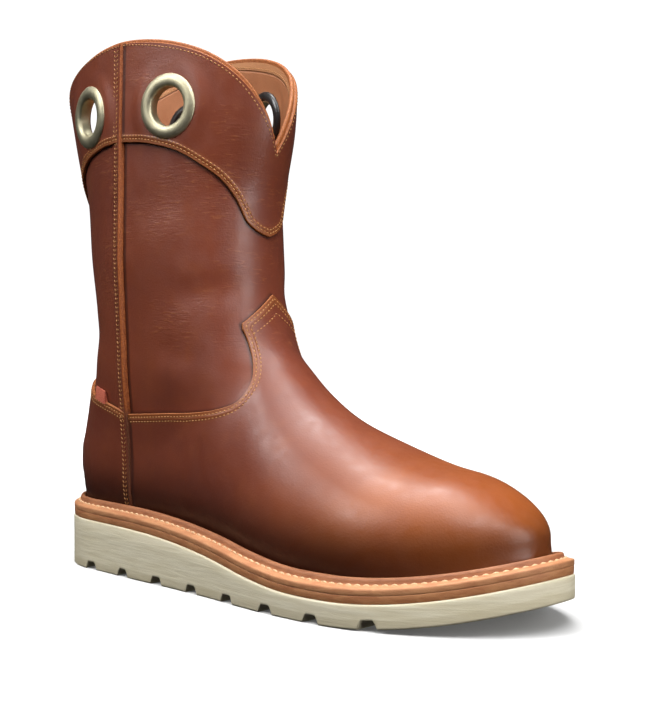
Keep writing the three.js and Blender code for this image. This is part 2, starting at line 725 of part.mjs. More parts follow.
// Piping in a side seam: a strip of the wall's own shape, standing proud of the overlays
function piping(side) {
  const half = PIPING_WIDTH / 2;
  const strip = sideBlock([
    [SEAM_PLACE - half, 0],
    [SEAM_PLACE + half, 0],
    [SEAM_PLACE + half, TOP],
    [SEAM_PLACE - half, TOP],
  ]);
  const oneSide = new THREE.BoxGeometry(SOLE_LENGTH, BALL_WIDTH, 2 * TOP);
  oneSide.translate(SEAM_PLACE, side * BALL_WIDTH / 2, 0);
  return toGeometry(shell(-PIPING_STAND, OVERLAY, LEVELS).intersect(strip).intersect(toSolid(oneSide)));
}

// Heel tab: a folded strip held in the counter's top seam, standing off the wall
const TAB_WIDTH = 12;
const TAB_HEIGHT = 8;
const TAB_THICKNESS = 1.6;
const TAB_PLACE = 44;
const TAB_LEVEL = 96;

function tab() {
  const frameShape = new THREE.Shape([
    new THREE.Vector2(-TAB_WIDTH / 2, -TAB_HEIGHT / 2),
    new THREE.Vector2(TAB_WIDTH / 2, -TAB_HEIGHT / 2),
    new THREE.Vector2(TAB_WIDTH / 2, TAB_HEIGHT / 2),
    new THREE.Vector2(-TAB_WIDTH / 2, TAB_HEIGHT / 2),
  ]);
  const geometry = new THREE.ExtrudeGeometry(frameShape, { depth: TAB_THICKNESS, bevelEnabled: false });
  let inner = 0;
  let outer = BALL_WIDTH;
  for (let step = 0; step < CAST_STEPS; step += 1) {
    const y = (inner + outer) / 2;
    if (bootMeasure(TAB_PLACE, -y, TAB_LEVEL) < 0) inner = y;
    else outer = y;
  }
  const point = new THREE.Vector3(TAB_PLACE, -inner, TAB_LEVEL);
  const out = outwardAt(point, 0.5);
  const across = new THREE.Vector3(0, 0, 1).cross(out).normalize();
  const up = out.clone().cross(across);
  const frame = new THREE.Matrix4().makeBasis(across, up, out);
  frame.setPosition(point.addScaledVector(out, GAP));
  return geometry.applyMatrix4(frame);
}

// Finishes
const finish = (color, roughness, metalness = 0) => new THREE.MeshStandardMaterial({ color, roughness, metalness });
const leather = finish(0x8a4526, 0.45);
const edgeLeather = finish(0xb86a35, 0.6);
const lining = finish(0xb07a52, 0.75);
const weltLeather = finish(0xd59a6c, 0.6);
const midsoleLeather = finish(0xb57a4c, 0.65);
const creamRubber = finish(0xcfc6b2, 0.75);
const brass = finish(0xb5a27c, 0.3, 1);
const black = finish(0x151515, 0.4, 0.6);
const tabLeather = finish(0xc4502c, 0.6);

const boot = new THREE.Group();

function addPiece(name, geometry, material) {
  const mesh = new THREE.Mesh(geometry, material);
  mesh.name = name;
  boot.add(mesh);
}

addPiece('outsole', outsole(), creamRubber);
addPiece('midsole', midsole(), midsoleLeather);
addPiece('welt', welt(), weltLeather);
addPiece('insole', insole(), lining);
addPiece('upper', upper(), leather);
addPiece('vamp', vamp(), leather);
addPiece('counter', counter(), leather);
addPiece('yoke_front', yokeFront(), leather);
addPiece('yoke_back', yokeBack(), leather);
addPiece('piping_outer', piping(-1), edgeLeather);
addPiece('piping_inner', piping(1), edgeLeather);
addPiece('tab', tab(), tabLeather);
pullHoles.forEach(({ name, frame }) => {
  addPiece(`grommet_${name}`, grommet(frame), brass);
  addPiece(`washer_${name}`, washer(frame), black);
});

const box = new THREE.Box3().setFromObject(boot);
const middle = box.getCenter(new THREE.Vector3());
boot.position.set(-middle.x, -middle.y, -box.min.z);

export default boot;
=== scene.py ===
# Roper work boot, right foot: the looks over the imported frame.
# Shapes are worked out in the boot's own millimetres (x from the back of the heel to the toe, y towards
# the inner side, z up from the floor) and moved into the frame, in metres, when a mesh is made.
import math

import bpy
import numpy as np
from mathutils import Matrix, Vector


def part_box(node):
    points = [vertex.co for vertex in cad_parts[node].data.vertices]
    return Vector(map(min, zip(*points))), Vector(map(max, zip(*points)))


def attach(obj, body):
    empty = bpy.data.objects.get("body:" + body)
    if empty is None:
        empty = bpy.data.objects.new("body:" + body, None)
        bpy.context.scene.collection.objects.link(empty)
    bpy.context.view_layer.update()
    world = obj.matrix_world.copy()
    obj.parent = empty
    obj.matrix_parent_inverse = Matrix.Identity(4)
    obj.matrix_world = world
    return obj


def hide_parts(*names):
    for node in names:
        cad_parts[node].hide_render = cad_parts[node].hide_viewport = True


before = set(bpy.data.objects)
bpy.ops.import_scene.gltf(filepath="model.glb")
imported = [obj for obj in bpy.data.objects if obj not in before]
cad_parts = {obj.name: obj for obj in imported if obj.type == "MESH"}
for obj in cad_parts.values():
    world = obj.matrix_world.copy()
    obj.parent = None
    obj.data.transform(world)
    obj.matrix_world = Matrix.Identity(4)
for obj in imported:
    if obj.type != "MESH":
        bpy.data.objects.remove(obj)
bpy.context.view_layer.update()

# Driving sizes of the sole
SOLE_LENGTH = 312
BALL_WIDTH = 112
HEEL_HEIGHT = 27
FOREPART_HEIGHT = 11
TOE_SPRING = 13.5
TOE_SPRING_START = 0.72
HEEL_ROUND = 42
TOE_ROUND = 89
MIDSOLE_THICKNESS = 3.1
WELT_THICKNESS = 3.1
WELT_WIDTH = 10
WELT_RISE = 1.6
BEAD_WIDTH = 3.6
BEAD_HEIGHT = 2.4
BEAD_CLEARANCE = 1.5
GROOVE_PITCH = 29.4
GROOVE_DEPTH = 3.8
GROOVE_FLOOR_WIDTH = 5
GROOVE_MOUTH_WIDTH = 9.4
FIRST_GROOVE = 42.3
GROOVE_COUNT = 8

# Driving sizes of the upper
COLLAR_HEIGHT = 279
COLLAR_DIP = 59
INSTEP_HEIGHT = 128
TOE_HEIGHT = 60
TOE_FRONT_ROUND = 46
WALL = 2.2
OVERLAY = 1.5
SIDE_BULGE = 2.2
TOE_BULGE = -1.3
TOE_BULGE_START = 0.7
SEAM_PLACE = 68.5
PIPING_WIDTH = 4
INSOLE_THICKNESS = 3.5
GAP = 0.3

# Driving sizes of the pull holes
HOLE_DIAMETER = 20
BARREL_WALL = 0.9
PULL_HOLE_HEIGHT = COLLAR_HEIGHT - 36.5
FRONT_PULL_HOLE = 102
REAR_PULL_HOLE = 40

# Fineness of the meshes
COLUMNS = 238
LEVELS_BETWEEN = 7
CAST_STEPS = 26
NORMAL_STEP = 0.4
EDGE_STEP = 1.2
POINTS_AT_ONCE = 4000

# Outline of the sole, along its length: half width and centre as shares of the ball width
SOLE_TABLE = {
    "at": [0.00, 0.15, 0.25, 0.36, 0.46, 0.56, 0.66, 0.74, 0.84, 0.92, 1.00],
    "half": [0.356, 0.360, 0.374, 0.379, 0.402, 0.450, 0.488, 0.500, 0.492, 0.478, 0.445],
    "centre": [0.000, -0.005, -0.018, -0.038, -0.046, -0.042, -0.027, -0.013, 0.004, 0.015, 0.020],
}
# Heights of wedge and ridge and the welt's inset along the sole length, as shares
WEDGE_TABLE = {
    "at": [0.00, 0.16, 0.30, 0.40, 0.47, 0.55, 0.63, 0.70, 1.00],
    "share": [1.00, 0.95, 0.87, 0.69, 0.50, 0.24, 0.04, 0.00, 0.00],
}
WELT_TABLE = {"at": [0.00, 0.12, 0.30, 1.00], "share": [0.72, 0.80, 1.00, 1.00]}
RIDGE_TABLE = {
    "at": [0.03, 0.09, 0.14, 0.19, 0.32, 0.41, 0.455, 0.513, 0.593, 0.689, 0.785, 0.865, 0.975],
    "rise": [0.50, 0.80, 1.50, 1.90, 1.90, 1.50, 1.00, 0.757, 0.462, 0.257, 0.115, 0.066, 0.000],
}
# Powers of the foot's cross-section along the sole length, and where it is widest over the welt
SECTION_TABLE = {
    "at": [0.32, 0.545, 0.737, 0.975],
    "side": [2.00, 2.00, 2.30, 2.35],
    "top": [1.80, 1.70, 1.90, 2.10],
}
WIDEST_HEIGHT = 14
TOE_WIDEST_HEIGHT = 8.5
# Shaft up the collar height: back and front as shares of the sole length, half of the ball width, and the
# powers of its rear and fore section
SHAFT_TABLE = {
    "at": [0.135, 0.168, 0.222, 0.305, 0.394, 0.502, 0.609, 0.717, 0.824, 0.986],
    "back": [0.0260, 0.0130, 0.0060, 0.0350, 0.0580, 0.0480, 0.0350, 0.0230, -0.0080, -0.0500],
    "front": [0.385, 0.401, 0.417, 0.436, 0.432, 0.423, 0.434, 0.442, 0.467, 0.480],
    "half": [0.268, 0.302, 0.312, 0.314, 0.328, 0.357, 0.376, 0.372, 0.367, 0.357],
    "rear": [2.50, 2.50, 2.40, 2.30, 2.20, 2.10, 2.10, 2.10, 2.10, 2.10],
    "fore": [2.20, 2.20, 2.10, 2.10, 2.05, 2.00, 2.00, 2.00, 2.00, 2.00],
}
# How heel and shaft flow into the foot
BLEND_LOW = 2
BLEND_HIGH = 26
BLEND_START = 20
BLEND_REACH = 60
FOOT_SCALE = 45
SHAFT_SCALE = 1.15
# Collar line by turn in degrees from the front, as a share of the dip
COLLAR_TABLE = {
    "at": [0, 16, 32, 47, 64, 80, 92, 104, 124, 145, 163, 180],
    "share": [0.00, 0.34, 0.62, 0.80, 0.925, 0.985, 1.00, 0.975, 0.855, 0.64, 0.32, 0.00],
}
# Levels that the surface is cut at, from the welt to the collar: height, tilt, and the rays' middle and
# reach as shares of the sizes
LEVEL_TABLE = {
    "at": [0.00, 0.12, 0.25, 0.40, 0.55, 0.70, 0.85, 1.00],
    "low": [0.000, 0.065, 0.158, 0.278, 0.395, 0.520, 0.670, 0.860],
    "tilt": [0.00, -0.01, -0.03, 0.00, 0.04, 0.02, 0.00, 0.00],
    "middle": [0.487, 0.481, 0.401, 0.321, 0.256, 0.247, 0.244, 0.231],
    "reach": [0.481, 0.474, 0.401, 0.304, 0.240, 0.218, 0.224, 0.256],
    "side": [0.47, 0.45, 0.41, 0.36, 0.36, 0.38, 0.38, 0.37],
}

# Levels of the surface's rows, and the levels where foot, centre line and collar take over
LEVELS = [0, 0.04, 0.085, 0.12, 0.145, 0.17, 0.2, 0.235, 0.275, 0.325, 0.38, 0.44, 0.51, 0.59,
          0.67, 0.75, 0.83, 0.915, 1]
FOOT_LEVELS_END = 0.3
FOOT_LEVELS_POWER = 1.5
CENTRE_LEVELS_END = 0.4
COLLAR_LEVELS_START = 0.62
FLAT_SHADE_LEVELS = 0.08
LEVEL_RAY = 2
SEAM_RAY = 0.8 * SOLE_LENGTH

# The skin ends a trim below the collar line, and levels keep a spread under it so that they don't cross
COLLAR_TRIM = 1.7
COLLAR_SPREAD = 40
LINING_RISE = 1.3
HEEL_LOOP_HEIGHT = 7

# Length of one degree of turn on the boot, and how many degrees an overlay's outline runs on past its ends
MM_PER_DEGREE = 1.1
OUTLINE_MARGIN = 2

# Edges of the overlays: turn in degrees round the seam's axis (0 front, 180 back), up as a share of the
# collar height; corner is the row where the line breaks
VAMP_EDGE = {
    "turn": [90.0, 51.6, 36.0, 29.0, 23.6, 19.8, 17.4, 15.9, 15.2, 15.5, 17.0, 0.0],
    "up": [0.302, 0.309, 0.314, 0.321, 0.333, 0.356, 0.378, 0.401, 0.425, 0.450, 0.473, 0.5265],
    "corner": 10,
}
COUNTER_EDGE = {
    "turn": [90.0, 107.2, 122.8, 137.0, 155.0, 180.0],
    "up": [0.302, 0.315, 0.326, 0.338, 0.358, 0.376],
    "corner": 5,
}
YOKE_FRONT_EDGE = {
    "turn": [90.0, 60.5, 42.0, 31.1, 22.9, 16.2, 10.8, 5.5, 0.0],
    "up": [0.814, 0.805, 0.787, 0.762, 0.737, 0.703, 0.657, 0.642, 0.634],
    "corner": 6,
}
YOKE_BACK_EDGE = {
    "turn": [90.0, 113.9, 136.0, 150.0, 160.0, 168.0, 180.0],
    "up": [0.815, 0.807, 0.786, 0.757, 0.722, 0.672, 0.648],
    "corner": 5,
}

# Place of the boot in the frame: the two front grommets stand on both sides of y = 0
NEAR_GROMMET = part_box("grommet_outer_front")
FAR_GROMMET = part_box("grommet_inner_front")
SHIFT = np.array([
    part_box("outsole")[0].x * 1000,
    (NEAR_GROMMET[0].y + NEAR_GROMMET[1].y + FAR_GROMMET[0].y + FAR_GROMMET[1].y) * 250,
    0,
])


def to_frame(points):
    return (np.asarray(points, float) + SHIFT) / 1000


# Smooth curve through one column of a table, held level beyond its ends
def column_at(table, column, place):
    at = np.asarray(table["at"], float)
    value = np.asarray(table[column], float)
    width = np.diff(at)
    slope = np.diff(value) / width
    tangent = np.concatenate([slope[:1], np.zeros(len(at) - 2), slope[-1:]])
    inner = (slope[:-1] * width[1:] + slope[1:] * width[:-1]) / (width[:-1] + width[1:])
    tangent[1:-1] = np.where(slope[:-1] * slope[1:] > 0, inner, 0)
    where = np.clip(place, at[0], at[-1])
    row = np.clip(np.searchsorted(at, where) - 1, 0, len(at) - 2)
    t = (where - at[row]) / width[row]
    return ((1 + 2 * t) * (1 - t) ** 2 * value[row] + t * (1 - t) ** 2 * width[row] * tangent[row]
            + t * t * (3 - 2 * t) * value[row + 1] + t * t * (t - 1) * width[row] * tangent[row + 1])


def smooth(value):
    t = np.clip(value, 0, 1)
    return t * t * (3 - 2 * t)


# Sole heights and outline by place along the boot
def spring_at(x):
    t = np.clip((x / SOLE_LENGTH - TOE_SPRING_START) / (1 - TOE_SPRING_START), 0, 1)
    return TOE_SPRING * t * t


def wedge_top_at(x):
    wedge = (HEEL_HEIGHT - FOREPART_HEIGHT) * column_at(WEDGE_TABLE, "share", x / SOLE_LENGTH)
    return spring_at(x) + FOREPART_HEIGHT + wedge


def midsole_top_at(x):
    return wedge_top_at(x) + GAP + MIDSOLE_THICKNESS


def welt_edge_at(x):
    return midsole_top_at(x) + GAP + WELT_THICKNESS


def welt_seat_at(x):
    return welt_edge_at(x) + WELT_RISE


def feather_at(x):
    return welt_seat_at(x) + GAP


def inset_at(x, inset):
    share = column_at(WELT_TABLE, "share", x / SOLE_LENGTH)
    return np.minimum(inset, WELT_WIDTH) * share + np.maximum(inset - WELT_WIDTH, 0)


def half_width_at(x, inset):
    heel_inset = inset_at(0.0, inset)
    heel = np.clip((HEEL_ROUND - x) / (HEEL_ROUND - heel_inset), 0, 1)
    toe = np.clip((x - SOLE_LENGTH + TOE_ROUND) / (TOE_ROUND - inset), 0, 1)
    side = BALL_WIDTH * column_at(SOLE_TABLE, "half", x / SOLE_LENGTH) - inset_at(x, inset)
    return side * np.sqrt(1 - heel * heel) * np.sqrt(1 - toe * toe)


def centre_at(x):
    return BALL_WIDTH * column_at(SOLE_TABLE, "centre", x / SOLE_LENGTH)


# Signed measures of the foot, of heel and shaft, and of the two flowed together: negative inside
def foot_measure(x, y, z):
    place = x / SOLE_LENGTH
    toe_share = smooth((place - TOE_BULGE_START) / (1 - TOE_BULGE_START))
    widest_height = WIDEST_HEIGHT + (TOE_WIDEST_HEIGHT - WIDEST_HEIGHT) * toe_share
    widest = feather_at(x) + widest_height
    below = np.maximum(widest - z, 0) / widest_height
    bulge = SIDE_BULGE + (TOE_BULGE - SIDE_BULGE) * toe_share
    inset = WELT_WIDTH - bulge * (1 - below * below)
    half = half_width_at(x, inset)
    front_x = SOLE_LENGTH - WELT_WIDTH + TOE_BULGE
    front = np.clip((x - front_x + TOE_FRONT_ROUND) / TOE_FRONT_ROUND, 0, 1)
    outside = (half <= 1e-6) | (front >= 1)
    ridge = TOE_HEIGHT + (INSTEP_HEIGHT - TOE_HEIGHT) * column_at(RIDGE_TABLE, "rise", place)
    side = column_at(SECTION_TABLE, "side", place)
    top = column_at(SECTION_TABLE, "top", place)
    height = np.maximum(ridge - widest, 1) * np.sqrt(1 - front * front)
    above = np.maximum(z - widest, 0) / np.where(outside, 1, height)
    across = np.abs(y - centre_at(x)) / np.where(outside, 1, half)
    measure = ((across ** side + above ** top) ** (1 / side) - 1) * FOOT_SCALE
    return np.where(outside, 2 * FOOT_SCALE, measure)


def shaft_measure(x, y, z):
    up = z / COLLAR_HEIGHT
    back = SOLE_LENGTH * column_at(SHAFT_TABLE, "back", up)
    front = SOLE_LENGTH * column_at(SHAFT_TABLE, "front", up)
    half = BALL_WIDTH * column_at(SHAFT_TABLE, "half", up)
    middle = (back + front) / 2
    power = np.where(x < middle, column_at(SHAFT_TABLE, "rear", up), column_at(SHAFT_TABLE, "fore", up))
    along = np.abs(x - middle) / ((front - back) / 2)
    return ((along ** power + (np.abs(y) / half) ** power) ** (1 / power) - 1) * half * SHAFT_SCALE


def boot_measure(x, y, z):
    foot = foot_measure(x, y, z)
    shaft = shaft_measure(x, y, z)
    up = smooth((z - feather_at(x) - BLEND_START) / BLEND_REACH)
    blend = BLEND_LOW + (BLEND_HIGH - BLEND_LOW) * up
    share = np.maximum(blend - np.abs(foot - shaft), 0) / blend
    return np.minimum(foot, shaft) - share * share * blend * 0.25


# Last place along rays that is still inside the boot; place_at gives the points at a ray's length
def cast(place_at, count, reach):
    inner = np.zeros(count)
    outer = np.full(count, float(reach))
    for _ in range(CAST_STEPS):
        middle = (inner + outer) / 2
        points = place_at(middle)
        is_inside = boot_measure(points[..., 0], points[..., 1], points[..., 2]) < 0
        inner = np.where(is_inside, middle, inner)
        outer = np.where(is_inside, outer, middle)
    return place_at(inner)


def unit(vectors):
    return vectors / np.maximum(np.linalg.norm(vectors, axis=-1, keepdims=True), 1e-12)


# Direction straight out of the boot's surface; a lift under 1 turns it towards level
def outward_at(points, lift=1.0):
    step = NORMAL_STEP
    x, y, z = points[..., 0], points[..., 1], points[..., 2]
    normal = np.stack([
        boot_measure(x + step, y, z) - boot_measure(x - step, y, z),
        boot_measure(x, y + step, z) - boot_measure(x, y - step, z),
        (boot_measure(x, y, z + step) - boot_measure(x, y, z - step)) * lift,
    ], axis=-1)
    return unit(normal)


def collar_at(turn):
    degrees = np.abs(np.degrees(turn))
    folded = np.where(degrees > 180, 360 - degrees, degrees)
    return COLLAR_HEIGHT - COLLAR_DIP * (1 - column_at(COLLAR_TABLE, "share", folded))


# Height of a level, which follows the welt low down and the trimmed collar line high up
def level_height(level, turn, x):
    low = COLLAR_HEIGHT * column_at(LEVEL_TABLE, "low", level)
    tilt = column_at(LEVEL_TABLE, "tilt", level)
    foot = np.maximum(1 - level / FOOT_LEVELS_END, 0) ** FOOT_LEVELS_POWER
    plane = HEEL_HEIGHT + HEEL_LOOP_HEIGHT + low + tilt * x
    height = (feather_at(x) + low) * foot + plane * (1 - foot)
    top = collar_at(turn) - COLLAR_TRIM
    height = np.minimum(height, top - COLLAR_SPREAD * (1 - level))
    collar = smooth((level - COLLAR_LEVELS_START) / (1 - COLLAR_LEVELS_START))
    return height * (1 - collar) + top * collar


# Points and outward directions of the boot's surface, a row for each level and a column for each turn
def boot_surface():
    rows = np.linspace(0, len(LEVELS) - 1, (len(LEVELS) - 1) * LEVELS_BETWEEN + 1)
    levels = np.interp(rows, np.arange(len(LEVELS)), LEVELS)
    level, turn = np.meshgrid(levels, 2 * np.pi * np.arange(COLUMNS) / COLUMNS, indexing="ij")
    middle = SOLE_LENGTH * column_at(LEVEL_TABLE, "middle", level)
    reach = SOLE_LENGTH * column_at(LEVEL_TABLE, "reach", level)
    side = BALL_WIDTH * column_at(LEVEL_TABLE, "side", level)
    centre = centre_at(middle) * np.maximum(1 - level / CENTRE_LEVELS_END, 0)

    def place_at(ray):
        x = middle + ray * reach * np.cos(turn)
        y = centre + ray * side * np.sin(turn)
        return np.stack([x, y, level_height(level, turn, x)], axis=-1)

    points = cast(place_at, level.shape, LEVEL_RAY)
    lift = smooth(level / FLAT_SHADE_LEVELS) * smooth((1 - level) / FLAT_SHADE_LEVELS)
    return points, outward_at(points, lift)


# Point of the surface at turns in degrees round the seam's axis and at heights
def around_seam(turn, height):
    radians = np.radians(turn)

    def place_at(radius):
        x = SEAM_PLACE + radius * np.cos(radians)
        return np.stack([x, radius * np.sin(radians), height], axis=-1)

    return cast(place_at, np.shape(turn), SEAM_RAY)


# Points of the surface at one place along the boot, on its outer side (-1) or inner side (1)
def beside_axis(x, side, height):
    def place_at(reach):
        return np.stack([np.full_like(reach, x), side * reach, height], axis=-1)

    return cast(place_at, height.shape, BALL_WIDTH)


# Soft creases: where they start and end (turn in degrees, height in mm), width and depth in mm.
# A lower ridge runs beside each, and both fade out towards the ends
CREASE_FADE = 0.3
CREASE_RIDGE = 0.5
CREASE_RIDGE_PLACE = 1.6
CREASES = [
    {"from": (8, 150), "to": (52, 141), "width": 7, "depth": 0.55},
    {"from": (-8, 152), "to": (-50, 146), "width": 7, "depth": 0.5},
    {"from": (20, 166), "to": (66, 160), "width": 8, "depth": 0.35},
    {"from": (30, 112), "to": (62, 122), "width": 8, "depth": 0.45},
    {"from": (-30, 114), "to": (-60, 121), "width": 8, "depth": 0.45},
    {"from": (112, 128), "to": (168, 121), "width": 8, "depth": 0.45},
    {"from": (-112, 130), "to": (-168, 122), "width": 8, "depth": 0.45},
    {"from": (118, 150), "to": (160, 146), "width": 7, "depth": 0.3},
    {"from": (-36, 196), "to": (-80, 190), "width": 9, "depth": 0.35},
    {"from": (34, 198), "to": (78, 193), "width": 9, "depth": 0.35},
]


# How far the creases raise or lower the surface
def relief_at(points):
    radius = np.hypot(points[..., 0] - SEAM_PLACE, points[..., 1])
    turn = np.degrees(np.arctan2(points[..., 1], points[..., 0] - SEAM_PLACE))
    total = np.zeros(points.shape[:-1])
    for crease in CREASES:
        (turn_a, height_a), (turn_b, height_b) = crease["from"], crease["to"]
        arc = np.radians(1) * radius
        along = np.stack([(turn_b - turn_a) * arc, np.full_like(arc, height_b - height_a)], axis=-1)
        away = np.stack([(turn - turn_a) * arc, points[..., 2] - height_a], axis=-1)
        share = (away * along).sum(-1) / (along ** 2).sum(-1)
        nearest = np.clip(share, 0, 1)
        distance = np.linalg.norm(away - nearest[..., None] * along, axis=-1)
        fade = smooth(share / CREASE_FADE) * smooth((1 - share) / CREASE_FADE)
        widths = distance / crease["width"]
        ridge = CREASE_RIDGE * np.exp(-((widths - CREASE_RIDGE_PLACE) ** 2))
        total -= crease["depth"] * (np.exp(-(widths ** 2)) - ridge) * fade
    return total


# Moves points of the smooth surface onto the creased one and gives their outward directions
def creased(points):
    outs = outward_at(points)
    return points + relief_at(points)[..., None] * outs, outs


# Cutting of triangle meshes along a line where a value at the points changes sign. Rows of data hold the
# place in columns 0 to 2 and whatever else goes along with a point in the rest
def clip(data, faces, value):
    kept = value > 0
    flags = kept[faces]
    count = flags.sum(1)
    cut = faces[(count == 1) | (count == 2)]
    cut_flags = kept[cut]
    is_lone_kept = cut_flags.sum(1) == 1
    lone = np.argmax(cut_flags == is_lone_kept[:, None], axis=1)
    order = (lone[:, None] + np.arange(3)) % 3
    a, b, c = np.take_along_axis(cut, order, axis=1).T
    edges = np.sort(np.vstack([np.stack([a, b], 1), np.stack([a, c], 1)]), axis=1)
    unique, index = np.unique(edges, axis=0, return_inverse=True)
    index = index.reshape(-1)
    p, q = unique.T
    share = value[p] / (value[p] - value[q])
    added = data[p] + share[:, None] * (data[q] - data[p])
    near = len(data) + index[:len(cut)]
    far = len(data) + index[len(cut):]
    lone_faces = np.stack([a, near, far], 1)[is_lone_kept]
    left = ~is_lone_kept
    wide_faces = np.vstack([np.stack([near, b, c], 1)[left], np.stack([near, c, far], 1)[left]])
    rim = np.vstack([np.stack([near, far], 1)[is_lone_kept], np.stack([far, near], 1)[left]])
    all_data = np.vstack([data, added])
    all_faces = np.vstack([faces[count == 3], lone_faces, wide_faces])
    return all_data, all_faces, rim


def compact(data, faces):
    used, new = np.unique(faces, return_inverse=True)
    return data[used], new.reshape(faces.shape)


# Directed edges that only one face has, which are the rims of an open mesh
def open_rims(faces):
    edges = np.vstack([faces[:, [0, 1]], faces[:, [1, 2]], faces[:, [2, 0]]])
    size = faces.max() + 1
    key = edges[:, 0] * size + edges[:, 1]
    twin = edges[:, 1] * size + edges[:, 0]
    return edges[~np.isin(key, twin)]


# Chains of points from directed edges, longest first
def chains(edges):
    following = {int(a): int(b) for a, b in edges}
    starts = [a for a in following if a not in set(following.values())]
    lines = []
    while following:
        start = starts.pop() if starts else next(iter(following))
        if start not in following:
            continue
        line = [start]
        while line[-1] in following:
            line.append(following.pop(line[-1]))
        lines.append(line)
    return sorted(lines, key=len, reverse=True)


# Lines of points, with all their data, where the value is zero
def contour(data, faces, value):
    all_data, _, rim = clip(data, faces, value)
    return [all_data[line] for line in chains(rim)]


# Dense line of an overlay's edge in turn and height, from the seam to the middle
def edge_line(edge):
    def through(turns, ups):
        z = np.asarray(ups, float) * COLLAR_HEIGHT
        turns = np.asarray(turns, float)
        at = np.concatenate([[0], np.cumsum(np.hypot(np.diff(turns) * MM_PER_DEGREE, np.diff(z)))])
        rows = {"at": at, "turn": turns, "z": z}
        place = np.linspace(0, at[-1], max(int(at[-1] / EDGE_STEP), 4))
        return np.stack([column_at(rows, "turn", place), column_at(rows, "z", place)], 1)

    corner = edge["corner"]
    line = through(edge["turn"][:corner + 1], edge["up"][:corner + 1])
    if corner < len(edge["turn"]) - 1:
        line = np.vstack([line, through(edge["turn"][corner:], edge["up"][corner:])[1:]])
    return line


def is_in_outline(points, outline):
    inside = np.zeros(len(points), bool)
    ends = np.roll(outline, -1, axis=0)
    for (u0, v0), (u1, v1) in zip(outline, ends):
        crosses = (v0 > points[:, 1]) != (v1 > points[:, 1])
        if v0 != v1:
            where = (u1 - u0) * (points[:, 1] - v0) / (v1 - v0) + u0
            inside ^= crosses & (points[:, 0] < where)
    return inside


def distance_to_line(points, line):
    best = np.full(len(points), 1e9)
    start = line[:-1]
    step = np.diff(line, axis=0)
    length = np.maximum((step ** 2).sum(1), 1e-9)
    for first in range(0, len(points), POINTS_AT_ONCE):
        last = first + POINTS_AT_ONCE
        part = points[first:last, None, :]
        share = np.clip(((part - start) * step).sum(-1) / length, 0, 1)
        away = part - start - share[..., None] * step
        best[first:last] = np.sqrt((away ** 2).sum(-1).min(1))
    return best


# Distance in mm from an overlay's edge, positive on the overlay; open_z is the level that it runs on to
def overlay_measure(points, edge, open_z):
    line = edge_line(edge)
    middle = round(edge["turn"][-1])
    margin = OUTLINE_MARGIN if middle > 90 else -OUTLINE_MARGIN
    outline = np.vstack([
        [[90 - margin, line[0, 1]]], line, [[middle + margin, line[-1, 1]]],
        [[middle + margin, open_z]], [[90 - margin, open_z]],
    ])
    turn = np.degrees(np.arctan2(np.abs(points[:, 1]), points[:, 0] - SEAM_PLACE))
    inside = is_in_outline(np.stack([turn, points[:, 2]], 1), outline)
    inner = around_seam(line[:, 0], line[:, 1])
    outer = around_seam(-line[::-1, 0], line[::-1, 1])
    distance = distance_to_line(points, np.vstack([inner, outer[1:]]))
    return np.where(inside, distance, -distance)


# Makes a mesh object from places in the boot's millimetres
def make_mesh(name, points, faces, materials, face_materials=None, normals=None, values=None):
    mesh = bpy.data.meshes.new(name)
    mesh.from_pydata(to_frame(points).tolist(), [], [list(map(int, face)) for face in faces])
    for material in materials:
        mesh.materials.append(material)
    if face_materials is not None:
        mesh.polygons.foreach_set("material_index", np.asarray(face_materials, np.int32))
    mesh.polygons.foreach_set("use_smooth", np.ones(len(mesh.polygons), bool))
    for key, value in (values or {}).items():
        attribute = mesh.attributes.new(key, "FLOAT", "POINT")
        attribute.data.foreach_set("value", np.asarray(value, np.float32))
    mesh.update()
    if normals is not None:
        mesh.normals_split_custom_set_from_vertices(unit(normals).tolist())
    piece = bpy.data.objects.new(name, mesh)
    bpy.context.scene.collection.objects.link(piece)
    return piece


def place_piece(piece, slot, *nodes):
    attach(piece, "root")
    if nodes:
        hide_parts(*nodes)
    return piece


